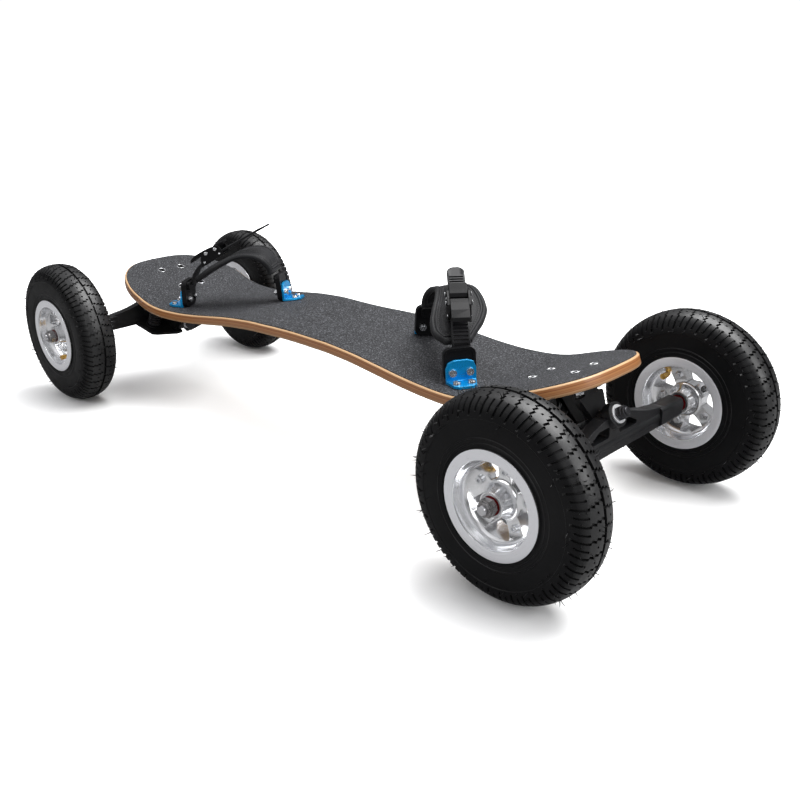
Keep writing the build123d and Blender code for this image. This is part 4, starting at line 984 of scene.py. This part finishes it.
def tread_rows(side, phase):
    """(radius, distance from the middle plane, angle) for each row on one side"""
    columns = np.concatenate([np.array(BLOCK_COLUMNS) + k * PITCH for k in range(BLOCKS)])
    rows = []
    # the crown row belongs to the first side only
    for s in (TREAD_ROWS[1:] if side < 0 else TREAD_ROWS):
        t, r, normal_t, normal_r = section_at(s)
        depth = np.tile([tread_depth(s, column) for column in BLOCK_COLUMNS], BLOCKS)
        stagger = (0.5 * PITCH if side < 0 else 0.0) * min(1.0, s / STAGGER_END)
        shift = np.interp(s, ZIGZAG_S, ZIGZAG_SHIFT) + stagger
        angle = (columns + shift) / PITCH * (2 * PI / BLOCKS) + phase
        rows.append((r - depth * normal_r, (t - depth * normal_t) * side, angle))
    return rows


def tyre_hairs(wheel_x, side_y, phase):
    """moulding hairs standing on the tread and shoulders"""
    random = np.random.RandomState(
        int(abs(wheel_x) + 7 * side_y + phase * 10) % 1000 + 11)
    across = np.array([0, 1.0, 0])
    hairs = []
    for _ in range(HAIR_COUNT):
        s = random.choice(HAIR_S, p=HAIR_SHARE)
        side = random.choice([-1, 1])
        angle = random.uniform(0, 2 * PI)
        length = random.uniform(2.6, 6.4)
        bend_round, bend_across = random.uniform(-0.5, 0.5, 2)
        # none on the tread where the tyre meets the floor
        if math.sin(angle) < -0.82 and s < 30:
            continue
        t, r, normal_t, normal_r = section_at(s)
        radial = np.array([math.cos(angle), 0, math.sin(angle)])
        tangent = np.array([-math.sin(angle), 0, math.cos(angle)])
        normal = radial * normal_r + across * side * normal_t
        y = side_y * TRACK + side * (t - HAIR_ROOT * normal_t)
        base = np.array([wheel_x, y, AXLE_Z]) + radial * (r - HAIR_ROOT * normal_r)
        bend = tangent * bend_round + across * bend_across * 0.6
        path = [base + normal * (HAIR_ROOT + length) * q + bend * length * q * q
                for q, _ in HAIR_TAPER]
        hairs.append(tube(path, [radius for _, radius in HAIR_TAPER], 5))
    return hairs


def build_tyre(name, wheel_x, side_y, phase):
    rows = tread_rows(-1, phase)[::-1] + tread_rows(1, phase)
    # close over the beads and the liner, easing the angles from one side to the other
    angle_end, angle_start = rows[-1][2], rows[0][2]
    for i, (t, r) in enumerate(LINER):
        share = i / (len(LINER) - 1)
        rows.append((r, t, angle_end * (1 - share) + angle_start * share))
    verts = np.concatenate([
        np.stack(np.broadcast_arrays(wheel_x + r * np.cos(angle), side_y * (TRACK + t),
                                     AXLE_Z + r * np.sin(angle)), -1)
        for r, t, angle in rows])
    faces = grid_faces(len(rows), BLOCKS * len(BLOCK_COLUMNS), wrap_c=True, wrap_r=True)
    parts = [(verts, faces)] + tyre_hairs(wheel_x, side_y, phase)
    return mesh_obj(name, *join(parts), TYRE, sharp=38)


# ---------------------------------------------------------------------------------------
# Rims: each half is turned, then cut with five windows.
# Profiles are (distance out from the wheel's middle plane, radius).
# ---------------------------------------------------------------------------------------

RIM_BARREL = [(0.02, 6.6), (0.02, 45.4), (14.6, 45.4), (17.8, 47.3), (24.2, 47.3), (24.2, 51.6),
              (24.5, 52.2), (25.1, 52.4), (26.1, 52.4), (26.55, 52.15), (26.7, 51.7),
              (26.7, 48.0), (26.7, 44.6), (26.7, 42.55), (26.55, 42.2), (26.1, 41.95)]
RIM_BOWL = [(26.1, 41.95), (23.5, 41.5), (20, 41.1), (16.5, 40.4), (13.2, 38.9), (10.6, 36.2),
            (8.9, 32.6), (7.75, 28.6), (7.05, 24.4), (6.95, 20.4), (8.2, 17.0), (11.4, 14.9),
            (16, 13.7), (21, 13.1), (23.2, 12.95)]
RIM_BOSS = [(23.8, 12.75), (24.0, 12.4), (24.0, 11.5), (23.75, 11.1), (17.6, 11.02),
            (17.6, 6.6)]
RIM_PROFILE = RIM_BARREL + [tuple(q) for q in smooth_curve(RIM_BOWL, 34)[1:]] + RIM_BOSS

WINDOWS = 5
# radius, half angle in degrees and number of points of a window's outer and inner arcs
WINDOW_OUTER = (37.6, 23.0, 9)
WINDOW_INNER = (19.3, 14.0, 5)
WINDOW_CORNER = 3.2
WINDOW_CUT = (-1.0, 22.0)           # ends of the cut, out from the middle plane
VALVE_RADIUS, VALVE_OUT = 3.1, 9.0  # hole's radius and distance from the middle plane
VALVE_CUT = (33.0, 50.0)            # ends of the cut, from the axle


def window_cut(middle, out):
    """window cutter round the given middle angle; out is 1 or -1 along Y"""
    points = []
    for (radius, half, count), way in ((WINDOW_OUTER, 1), (WINDOW_INNER, -1)):
        for q in np.linspace(-half * way, half * way, count):
            angle = middle + rad(q)
            points.append((radius * math.cos(angle), radius * math.sin(angle)))
    last_outer = WINDOW_OUTER[2] - 1
    corners = (0, last_outer, last_outer + 1, len(points) - 1)
    radii = [WINDOW_CORNER if j in corners else 0 for j in range(len(points))]
    outline = rounded(points, radii, 6)
    return ring_solid([
        np.stack([outline[:, 0], np.full(len(outline), out * y), outline[:, 1]], -1)
        for y in WINDOW_CUT])


def valve_cut(angle, out):
    spoke = np.array([math.cos(angle), 0, math.sin(angle)])
    across = np.array([0, 1.0, 0])
    ring = circle(np.array([0, out * VALVE_OUT, 0]), VALVE_RADIUS,
                  across, np.cross(spoke, across), 20)
    return ring_solid([ring + spoke * reach for reach in VALVE_CUT])


def build_rim_half(name, centre, side_y, out, first_window, valve, mat):
    """one rim half; valve is an angle in degrees, or None for a half without the hole"""
    ob = mesh_obj(name, *lathe([(out * t, r) for t, r in RIM_PROFILE], 180), mat, sharp=None)
    bool_cut(ob, [window_cut(rad(first_window + i * 360 / WINDOWS), out)
                  for i in range(WINDOWS)])
    if valve is not None:
        bool_cut(ob, [valve_cut(rad(valve), out)])
    mesh = ob.data
    points = np.zeros(len(mesh.vertices) * 3)
    mesh.vertices.foreach_get("co", points)
    points = points.reshape(-1, 3)
    points[:, 1] *= side_y
    points += np.array(centre)
    mesh.vertices.foreach_set("co", points.ravel())
    bm = bmesh.new()
    bm.from_mesh(mesh)
    bmesh.ops.remove_doubles(bm, verts=bm.verts, dist=2e-5)
    bmesh.ops.dissolve_degenerate(bm, dist=1e-5, edges=bm.edges)
    bmesh.ops.recalc_face_normals(bm, faces=bm.faces)
    bm.to_mesh(mesh)
    bm.free()
    mesh.materials.clear()
    mesh.materials.append(mat)
    shade(mesh, 32)
    return ob


def build_wheel(wheel, side_x, side_y, first_window, valve, valve_half):
    body = wheel + "_wheel"
    wheel_x = side_x * WHEEL_X
    centre = (wheel_x * MM, side_y * TRACK * MM, AXLE_Z * MM)
    phase = rad(first_window) * side_y + 0.03
    tyre = build_tyre(wheel + "_tread_tyre", wheel_x, side_y, phase)
    register(tyre, body=body, replaces=wheel + "_tyre")
    mat = m_rim("rim_" + wheel, centre)
    for half, out in (("outer", 1), ("inner", -1)):
        rim = build_rim_half(wheel + "_rim_bowl_" + half, centre, side_y, out, first_window,
                             valve if valve_half == out else None, mat)
        register(rim, body=body, replaces=wheel + "_rim_" + half)
    dress(wheel + "_inner_tube", m_tube("tube_" + wheel, centre))
    dress(wheel + "_rim_bolts", ZINC, bevel=0.25)
    dress(wheel + "_bearings", m_bearing("bearing_" + wheel, centre),
          bevel=0.15)


# ---------------------------------------------------------------------------------------
# Trucks and their springs
# ---------------------------------------------------------------------------------------

# part, material, slot, bevel, bevel segments
TRUCK_PARTS = [
    ("base", CAST, "truck_black", 0.9, 3),
    ("hanger", CAST, "truck_black", 0.9, 3),
    ("axle", AXLE, "zinc_steel", 0.0, 2),
    ("kingpin", BLACK_STEEL, "black_steel", 0.3, 2),
    ("kingpin_nut", BLACK_STEEL, "black_steel", 0.3, 2),
    ("kingpin_washers", WASHER, "zinc_steel", 0.25, 2),
    ("axle_nuts", NUT, "zinc_steel", 0.3, 2),
    ("pivot_bushes", BUSH, "bush_rubber", 0.25, 2),
]
TRUCK_X, TRUCK_Z = 414.0, 131.0     # origin of the tilted truck frame
TRUCK_TILT = rad(30)
SPRING_ALONG, SPRING_Y = -46.0, 35.0    # spring axes in that frame
SPRING_ENDS = (-21.8, 1.0)          # bottom and top along the axis
SPRING_RADIUS, WIRE_RADIUS = 8.4, 1.4
SPRING_TURNS, SPRING_POINTS = 5.6, 300


def dress_trucks():
    for end, _ in ENDS:
        for part, mat, slot, bevel, segments in TRUCK_PARTS:
            dress(f"{end}_{part}", mat, bevel, segments)
    dress("deck_bolts", BOLT, bevel=0.12)
    dress("deck_nuts", ZINC, bevel=0.25)


def build_springs(end, side):
    cos, sin = math.cos(TRUCK_TILT), math.sin(TRUCK_TILT)
    along = np.array([side * cos, 0, sin])
    axis = np.array([-side * sin, 0, cos])
    across = np.array([0, side * 1.0, 0])
    middle = np.array([side * TRUCK_X, 0, TRUCK_Z]) + SPRING_ALONG * along
    low, high = SPRING_ENDS
    share = np.linspace(0, 1, SPRING_POINTS)
    # dead coils at both ends, open ones between
    height = np.interp(share, [0, 0.16, 0.84, 1.0],
                       [low + WIRE_RADIUS + 0.15, low + WIRE_RADIUS * 2.3,
                        high - WIRE_RADIUS * 2.3, high - WIRE_RADIUS - 0.15])
    angle = (2 * PI * SPRING_TURNS * share)[:, None]
    coil = height[:, None] * axis + SPRING_RADIUS * (np.cos(angle) * along
                                                     + np.sin(angle) * across)
    parts = [tube(middle + y * across + coil, WIRE_RADIUS) for y in (SPRING_Y, -SPRING_Y)]
    springs = mesh_obj(end + "_coil_springs", *join(parts), SPRING, sharp=60)
    register(springs, replaces=end + "_springs")
    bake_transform(springs)


# ---------------------------------------------------------------------------------------
# Bindings. Their frame is s along the strap, towards +Y and the board's middle, z up,
# and n across the strap towards the tip. The rear one is mirrored in X.
# ---------------------------------------------------------------------------------------

STRAP_ANGLE = math.atan2(0.558, 0.830)
ALONG = np.array([-math.cos(STRAP_ANGLE), math.sin(STRAP_ANGLE), 0])
ACROSS = np.array([math.sin(STRAP_ANGLE), math.cos(STRAP_ANGLE), 0])
BINDING = np.array([256.0, -52.0, 0])
STRAP_EDGES = (-5.5, 14.5)                  # the ratchet strap's edges in n
STRAP_MIDDLE = sum(STRAP_EDGES) / 2
STRAP_TURN = rad(-11.0)                     # turn of the front ratchet strap about its root
STRAP_ROOT = BINDING + 14 * ALONG + STRAP_MIDDLE * ACROSS

# (s, z) along the pad's outer and inner faces
PAD_OUTER = smooth_curve([(19, 181), (30, 192.5), (42, 200.5), (61, 210.5), (79, 219), (92, 223),
                          (108, 223.5), (121, 219.5), (130, 211), (135, 201), (136.5, 191)],
                         200)
PAD_INNER = smooth_curve([(20.5, 178.2), (33, 183), (46, 190.5), (64, 200), (80, 207.5),
                          (92, 211), (106, 211.2), (116, 207.5), (122.5, 201),
                          (125.6, 195.5), (126.8, 190)], 200)
PAD_LENGTH = float(np.sum(np.linalg.norm(np.diff((PAD_OUTER + PAD_INNER) / 2, axis=0), axis=1)))
# (s, n) of the pad's edges towards the tip and towards the middle, front 1 and rear -1
PAD_HIGH = {
    -1: np.array([(14, 14), (26, 22), (40, 27), (60, 36), (80, 42), (104, 42), (124, 34),
                  (134, 22), (141, 20)], float),
    1: np.array([(14, 14), (26, 24), (40, 38), (56, 47), (72, 48), (90, 46), (106, 42),
                 (124, 34), (134, 22), (141, 20)], float),
}
PAD_LOW = {
    -1: np.array([(14, -5), (24, -12), (38, -22), (60, -26), (104, -26), (124, -22),
                  (134, -16), (141, -12)], float),
    1: np.array([(14, -5), (22, -14), (30, -24), (44, -23), (60, -17), (80, -8), (100, -2),
                 (120, -8), (134, -13), (141, -12)], float),
}
# distance in from the pad's edge and half thickness: a bound edge, a welt groove, a
# stitched groove, then the filled panel
PAD_ROLL = np.array([(0, 0.35), (0.5, 2.1), (1.3, 3.3), (2.6, 4.1), (4.0, 4.2), (5.2, 3.5),
                     (6.4, 2.6), (7.6, 2.75), (8.6, 3.1), (9.7, 2.6), (10.9, 3.3),
                     (13.5, 4.2), (18, 4.7), (30, 5.0)])
# net lines near the edge, by distance in, then evenly spaced ones inside PAD_BORDER
PAD_LINES = np.array([0, 0.5, 1.3, 2.6, 4.0, 5.2, 6.4, 7.6, 8.6, 9.7, 10.9, 13.0])
PAD_BORDER = 15.0
WELT_IN, STITCH_IN = 6.9, 9.7       # welt and stitches, in from the edge

# cloth simulation that fills out the padding
SWELL_FRAMES = 14
SWELL_LIMIT = 1.5                   # furthest a point may move, mm
SWELL_SETTINGS = dict(
    quality=6, mass=0.25, tension_stiffness=18, compression_stiffness=18,
    shear_stiffness=8, bending_stiffness=0.6, use_pressure=True, uniform_pressure_force=3.0,
    vertex_group_mass="seams", pin_stiffness=1.0)

# stitches: distance along the seam and height over the pad of each point, and its radius
STITCH_SHAPE = [(0, -0.3, 0.28), (0.5, 0.25, 0.38), (1.3, 0.42, 0.42), (2.1, 0.25, 0.38),
                (2.6, -0.3, 0.28)]
STITCH_PITCH = 3.5

# (s, z) along the ratchet strap
STRAP_POINTS = [(13.2, 172.5), (15.4, 184.5), (24.0, 196.8), (40.0, 208.5), (65.0, 223.0),
                (96.5, 239.5), (128.0, 256.0)]
STRAP_PATH = smooth_curve(STRAP_POINTS, 420)
STRAP_LENGTHS = path_lengths(STRAP_PATH)
FRONT_SHORTER = 30.0                # the front strap ends this much sooner
STRAP_STEP = 0.5
TIP_RADIUS = 8.5
TAIL = 15.0                         # plain length at the tip
TEETH_START = 8.0
TOOTH_PITCH = 4.0
# share of a tooth's pitch, height there
TOOTH = [(0, 0.55), (0.12, 2.15), (0.55, 2.15), (0.68, 0.55), (1.0, 0.55)]
ROOT_HEIGHT, TAIL_HEIGHT, RAIL_HEIGHT, STRAP_UNDER = 0.55, 1.55, 1.75, 1.15
# place across the strap as a share of its half width, and how far the rail drops there;
# None lies between the rails
RAIL_HALF = [(-1.0, 0.9), (-0.985, 0.35), (-0.93, 0.05), (-0.80, 0.0), (-0.775, None),
             (-0.4, None)]
STRAP_COLUMNS = RAIL_HALF + [(0.0, None)] + [(-c, drop) for c, drop in RAIL_HALF[::-1]]

BUCKLE_AT, BUCKLE_AHEAD = STRAP_POINTS[3:5]     # the buckle lies along this run
BUCKLE_HALF_WIDTH = 12.55
# along and above the buckle's line, radius, stand-off from the cheek
RIVETS = [(4.0, 8.6, 2.5, 1.62), (19.0, 7.2, 2.5, 1.62), (-5.5, -0.8, 1.6, 0.02),
          (20.5, -0.9, 1.6, 0.02)]
# share of the radius, height of the head there
RIVET_HEAD = [(1.0, -0.02), (1.0, 0.18), (0.90, 0.45), (0.66, 0.70), (0.36, 0.85)]


def binding_point(s, z, n, mirror):
    s, z, n = np.broadcast_arrays(*(np.asarray(v, float) for v in (s, z, n)))
    p = BINDING + s[..., None] * ALONG + n[..., None] * ACROSS + z[..., None] * np.array([0, 0, 1.0])
    return p * np.array([-1.0, 1, 1]) if mirror < 0 else p


def strap_point(s, z, n, mirror):
    """binding point for the ratchet strap and buckle; the front ones are turned"""
    p = binding_point(s, z, n, mirror)
    if mirror < 0:
        return p
    q = p - STRAP_ROOT
    cos, sin = math.cos(STRAP_TURN), math.sin(STRAP_TURN)
    return np.stack([STRAP_ROOT[0] + cos * q[..., 0] - sin * q[..., 1],
                     STRAP_ROOT[1] + sin * q[..., 0] + cos * q[..., 1], q[..., 2]], -1)


def pad_edges(s, mirror):
    """the pad's lower and upper n at s, its corners eased"""
    weights = np.array([1, 3, 5, 6, 5, 3, 1], float)
    offsets = np.linspace(-7, 7, 7)
    low, high = (
        sum(w * np.interp(s + q, table[mirror][:, 0], table[mirror][:, 1])
            for w, q in zip(weights, offsets)) / weights.sum()
        for table in (PAD_LOW, PAD_HIGH))
    return low + 0.5, high - 0.5


def pad_squeeze(low, high):
    """share to which the border shrinks where the pad is narrow"""
    return min(1.0, ((high - low) / 2 - 1.0) / PAD_BORDER)


def pad_middle(share):
    """(s, z) in the middle of the pad's thickness, and the outward unit vector there"""
    k = share * (len(PAD_OUTER) - 1)
    outer, inner = (
        np.array([np.interp(k, np.arange(len(face)), face[:, i]) for i in (0, 1)])
        for face in (PAD_OUTER, PAD_INNER))
    across = outer - inner
    return (outer + inner) / 2, across / np.linalg.norm(across)


def build_pad(mirror, name):
    ends = PAD_LINES / PAD_LENGTH
    inside = np.linspace(PAD_BORDER, PAD_LENGTH - PAD_BORDER, 62) / PAD_LENGTH
    shares = np.r_[ends, inside, 1 - ends[::-1]]
    top, bottom, edge = [], [], []
    for share in shares:
        middle, out = pad_middle(share)
        low, high = pad_edges(middle[0], mirror)
        squeeze = pad_squeeze(low, high)
        lines, border = PAD_LINES * squeeze, PAD_BORDER * squeeze
        row = np.r_[low + lines, low + np.linspace(border, high - low - border, 15),
                    high - lines[::-1]]
        for n in row:
            e = min(n - low, high - n, share * PAD_LENGTH, (1 - share) * PAD_LENGTH)
            half = float(np.interp(max(e, 0) / max(squeeze, 0.5),
                                   PAD_ROLL[:, 0], PAD_ROLL[:, 1]))
            top.append(binding_point(*(middle + out * half), n, mirror))
            bottom.append(binding_point(*(middle - out * half), n, mirror))
            edge.append(e)
    solid = sheet_solid(np.array(top), np.array(bottom), len(shares), len(row))
    ob = mesh_obj(name, *solid, LEATHER, sharp=None)
    # seams and the bound edge hold still while the padding fills out
    edge = np.array(edge + edge)
    seams = ob.vertex_groups.new(name="seams")
    held = (edge < 0.9) | (np.abs(edge - WELT_IN) < 0.9) | (np.abs(edge - STITCH_IN) < 0.7)
    for i in np.nonzero(held)[0]:
        seams.add([int(i)], 1.0, "REPLACE")
    return ob


def swell(ob):
    """inflate the padding between its seams, limit how far each point went, and keep it"""
    SCENE.frame_set(1)
    rest = np.array([v.co for v in ob.data.vertices])
    cloth = ob.modifiers.new("cloth", "CLOTH")
    for key, value in SWELL_SETTINGS.items():
        setattr(cloth.settings, key, value)
    cloth.settings.effector_weights.gravity = 0.0
    cloth.collision_settings.use_collision = False
    cloth.collision_settings.use_self_collision = False
    cloth.point_cache.frame_start = 1
    cloth.point_cache.frame_end = SWELL_FRAMES
    for k in range(1, SWELL_FRAMES + 1):
        SCENE.frame_set(k)
    graph = bpy.context.evaluated_depsgraph_get()
    swollen = ob.evaluated_get(graph).to_mesh()
    moved = np.nan_to_num(np.array([v.co for v in swollen.vertices]) - rest)
    ob.evaluated_get(graph).to_mesh_clear()
    ob.modifiers.clear()
    length = np.linalg.norm(moved, axis=1)
    limit = SWELL_LIMIT * MM
    scale = np.where(length > 1e-9,
                     limit * np.tanh(length / limit) / np.maximum(length, 1e-9), 0.0)
    points = rest + moved * scale[:, None]
    ob.data.vertices.foreach_set("co", points.astype(np.float32).ravel())
    ob.data.update()
    SCENE.frame_set(1)


def subdivide_pad(ob):
    ob.vertex_groups.clear()
    subdivision = ob.modifiers.new("sub", "SUBSURF")
    subdivision.levels = 1
    subdivision.render_levels = 1
    graph = bpy.context.evaluated_depsgraph_get()
    mesh = bpy.data.meshes.new_from_object(ob.evaluated_get(graph))
    ob.modifiers.clear()
    ob.data = mesh
    mesh.shade_smooth()
    mesh.materials.clear()
    mesh.materials.append(LEATHER)


def seam_loop(mirror, inset):
    """closed run of (share, n) at a distance in from the pad's edge"""
    side_points, end_points = 70, 9
    start = (inset + 1.0) / PAD_LENGTH
    end = 1 - start

    def limits(share):
        low, high = pad_edges(pad_middle(share)[0][0], mirror)
        squeeze = pad_squeeze(low, high)
        return low + inset * squeeze, high - inset * squeeze

    between = np.linspace(0, 1, end_points)[1:-1]
    loop = [(share, limits(share)[1]) for share in np.linspace(start, end, side_points)]
    low, high = limits(end)
    loop += [(end, high + (low - high) * t) for t in between]
    loop += [(share, limits(share)[0]) for share in np.linspace(end, start, side_points)]
    low, high = limits(start)
    loop += [(start, low + (high - low) * t) for t in between]
    return loop


def seam_on_pad(tree, mirror, inset, count):
    """points and outward directions of a seam on the pad's outer face, six columns"""
    points = []
    for share, n in seam_loop(mirror, inset):
        middle, out = pad_middle(share)
        origin = binding_point(*(middle + out * 9), n, mirror) * MM
        ray = binding_point(*middle, n, mirror) * MM - origin
        hit = tree.ray_cast(Vector(origin), Vector(ray).normalized(), 0.02)[0]
        if hit is not None:
            points.append(np.r_[np.array(hit) * 1000, -ray / np.linalg.norm(ray)])
    return smooth_curve(np.array(points), count, closed=True)


def build_seams(end, mirror, pad):
    """a welt in the outer groove and a line of stitches in the inner one"""
    tree = BVHTree.FromObject(pad, bpy.context.evaluated_depsgraph_get())
    seam = seam_on_pad(tree, mirror, WELT_IN, 420)
    solid = tube(seam[:, :3] + seam[:, 3:] * 0.35, 1.15, closed=True)
    piping = mesh_obj(end + "_pad_piping", *solid, WELT, sharp=None)
    register(piping, body="board")

    count = 1200
    seam = seam_on_pad(tree, mirror, STITCH_IN, count)
    length = path_lengths(seam[:, :3])
    radii = [radius for _, _, radius in STITCH_SHAPE]
    stitches = []
    at = 0.0
    while at + STITCH_SHAPE[-1][0] < length[-1]:
        points = []
        for ahead, height, _ in STITCH_SHAPE:
            row = seam[int(np.interp(at + ahead, length, np.arange(count)))]
            points.append(row[:3] + row[3:] / np.linalg.norm(row[3:]) * height)
        points = np.array(points)
        # leave out a stitch with two points in one place
        if np.min(np.linalg.norm(np.diff(points, axis=0), axis=1)) > 0.05:
            stitches.append(tube(points, radii, 6))
        at += STITCH_PITCH
    thread = mesh_obj(end + "_pad_stitches", *join(stitches), THREAD, sharp=None)
    register(thread, body="board")


def build_strap(mirror, name):
    """ratchet strap: rounded rails, saw teeth between them, a plain rounded tip"""
    half_width = 0.5 * (STRAP_EDGES[1] - STRAP_EDGES[0])
    total = STRAP_LENGTHS[-1] - (FRONT_SHORTER if mirror > 0 else 0.0)
    stations = np.r_[np.arange(0, total, STRAP_STEP), total]
    tooth_share, tooth_height = zip(*TOOTH)
    top, bottom = [], []
    for at in stations:
        (s, s_after, s_before), (z, z_after, z_before) = (
            [np.interp(at + d, STRAP_LENGTHS, STRAP_PATH[:, k]) for d in (0, 0.6, -0.6)]
            for k in (0, 1))
        ds, dz = s_after - s_before, z_after - z_before
        length = math.hypot(ds, dz)
        normal_s, normal_z = -dz / length, ds / length
        left = total - at
        width = half_width
        if left < TIP_RADIUS:
            chord = math.sqrt(max(0.0, TIP_RADIUS**2 - (TIP_RADIUS - left) ** 2))
            width = half_width - TIP_RADIUS + chord
        thin = 1.0 - 0.30 * ramp01(TAIL - left, 0, TAIL)
        if left < TAIL:
            inside = TAIL_HEIGHT * thin
        elif at > TEETH_START:
            inside = np.interp((at % TOOTH_PITCH) / TOOTH_PITCH, tooth_share, tooth_height)
        else:
            inside = ROOT_HEIGHT
        for column, drop in STRAP_COLUMNS:
            n = STRAP_MIDDLE + width * column
            height = inside if drop is None else RAIL_HEIGHT * thin - drop
            under = STRAP_UNDER - (drop or 0) * 0.6
            # the turned corner stays off the anchor
            off = 0.0
            if mirror > 0:
                off = max(0.0, n - STRAP_MIDDLE) * 0.2 * max(0.0, 1 - at / 22.0)
            top.append(strap_point(s + off + normal_s * height, z + normal_z * height,
                                   n, mirror))
            bottom.append(strap_point(s + off - normal_s * under, z - normal_z * under,
                                      n, mirror))
    solid = sheet_solid(np.array(top), np.array(bottom), len(stations), len(STRAP_COLUMNS))
    return mesh_obj(name, *solid, STRAP, sharp=38, weld=0.005)


def build_rivets(end, mirror):
    """bright rivet heads on both sides of the buckle"""
    slope = math.atan2(BUCKLE_AHEAD[1] - BUCKLE_AT[1], BUCKLE_AHEAD[0] - BUCKLE_AT[0])
    cos, sin = math.cos(slope), math.sin(slope)
    angle = turn(20)
    parts = []
    for along, above, radius, stand_off in RIVETS:
        s = BUCKLE_AT[0] + along * cos - above * sin
        z = BUCKLE_AT[1] + along * sin + above * cos
        for side in (-1, 1):
            cheek = STRAP_MIDDLE + side * (BUCKLE_HALF_WIDTH + stand_off)
            parts.append(ring_solid([
                strap_point(s + radius * share * np.cos(angle),
                            z + radius * share * np.sin(angle), cheek + side * height, mirror)
                for share, height in RIVET_HEAD]))
    rivets = mesh_obj(end + "_buckle_rivets", *join(parts), ZINC, sharp=40)
    register(rivets, body="board")


def build_binding(end, mirror):
    strap = build_strap(mirror, end + "_ratchet_strap")
    register(strap, body="board", replaces=end + "_ladder_strap")
    pad = build_pad(mirror, end + "_foot_pad")
    swell(pad)
    subdivide_pad(pad)
    register(pad, body="board", replaces=end + "_pad")
    build_seams(end, mirror, pad)
    build_rivets(end, mirror)
    dress(end + "_buckle", PLASTIC, bevel=0.4)
    dress(end + "_ratchet_lever", PLASTIC, bevel=0.5)
    dress(end + "_release_lever", PLASTIC, bevel=0.5)


# ---------------------------------------------------------------------------------------
# Floor, world, lights, camera
# ---------------------------------------------------------------------------------------

FLOOR_HALF = 9000           # mm
FLOOR_Z = -0.0004

# height of the direction, 0 straight down to 1 straight up, and brightness there
SKY = [(0.0, 0.10), (0.49, 0.10), (0.53, 0.05), (0.70, 0.22), (1.0, 1.30)]
SKY_STRENGTH, BACKDROP_STRENGTH = 0.75, 1.05

# name, place, point aimed at, width, height, power in watts
LIGHTS = [
    ("key", (0.5, 0.9, 2.5), (0, 0, 0.1), 2.6, 1.8, 105),
    ("side", (2.3, 0.5, 1.1), (0.2, 0, 0.1), 1.3, 1.1, 20),
    ("fill", (-1.2, -2.3, 1.4), (0, 0, 0.1), 2.0, 1.2, 18),
    ("front", (1.6, -1.9, 0.9), (0.3, -0.1, 0.1), 1.0, 1.0, 6),
]

CAMERA_PLACE = (0.85297, -0.73999, 0.46869)
# columns are the camera's right, up and backward directions
CAMERA_AXES = Matrix(((0.71458, -0.22784, 0.66141),
                      (0.69892, 0.27277, -0.66115),
                      (-0.02977, 0.93471, 0.35416)))


def build_floor():
    h = FLOOR_HALF
    floor = mesh_obj("floor", [(-h, -h, 0), (h, -h, 0), (h, h, 0), (-h, h, 0)],
                     [(0, 1, 2, 3)], fix=False, smooth=False)
    floor.location.z = FLOOR_Z
    floor.data.materials.append(m_floor())


def build_world():
    """a soft sky that lights the board, and plain white where the camera sees it"""
    world = bpy.data.worlds.new("studio")
    SCENE.world = world
    world.use_nodes = True
    tree = world.node_tree
    tree.nodes.clear()
    output, mix, path, sky, backdrop, coords, split, ramp, height = (
        tree.nodes.new("ShaderNode" + kind)
        for kind in ("OutputWorld", "MixShader", "LightPath", "Background", "Background",
                     "TexCoord", "SeparateXYZ", "ValToRGB", "MapRange"))
    height.inputs["From Min"].default_value = -1.0
    height.inputs["From Max"].default_value = 1.0
    set_stops(ramp, [(at, (grey, grey, grey * 1.02)) for at, grey in SKY])
    sky.inputs["Strength"].default_value = SKY_STRENGTH
    backdrop.inputs["Color"].default_value = (1, 1, 1, 1)
    backdrop.inputs["Strength"].default_value = BACKDROP_STRENGTH
    for source, target in (
            (coords.outputs["Generated"], split.inputs[0]),
            (split.outputs[2], height.inputs[0]),
            (height.outputs[0], ramp.inputs[0]),
            (ramp.outputs[0], sky.inputs[0]),
            (path.outputs["Is Camera Ray"], mix.inputs[0]),
            (sky.outputs[0], mix.inputs[1]),
            (backdrop.outputs[0], mix.inputs[2]),
            (mix.outputs[0], output.inputs[0])):
        tree.links.new(source, target)


def add_light(name, place, target, width, height, power):
    light = bpy.data.lights.new(name, "AREA")
    light.energy = power
    light.shape = "RECTANGLE"
    light.size = width
    light.size_y = height
    ob = bpy.data.objects.new(name, light)
    SCENE.collection.objects.link(ob)
    ob.location = place
    ob.rotation_mode = "QUATERNION"
    ob.rotation_quaternion = (Vector(target) - Vector(place)).to_track_quat("-Z", "Y")


def add_camera():
    camera = bpy.data.cameras.new("camera")
    ob = bpy.data.objects.new("camera", camera)
    SCENE.collection.objects.link(ob)
    ob.matrix_world = Matrix.Translation(CAMERA_PLACE) @ CAMERA_AXES.to_4x4()
    camera.lens = 41.255
    camera.sensor_width = 36
    camera.clip_start = 0.02
    camera.clip_end = 60
    SCENE.camera = ob


# ---------------------------------------------------------------------------------------
# Build everything
# ---------------------------------------------------------------------------------------

build_deck()
for wheel in WHEELS:
    build_wheel(*wheel)
dress_trucks()
build_bolt_rims()
for end, side in ENDS:
    build_springs(end, side)
dress("binding_brackets", BLUE, bevel=0.7, segments=3)
dress("bracket_screws", ZINC, bevel=0.3)
dress("strap_anchors", PLASTIC, bevel=0.5)
for end, side in ENDS:
    build_binding(end, side)
build_floor()
build_world()
for light in LIGHTS:
    add_light(*light)
add_camera()

bpy.context.view_layer.update()
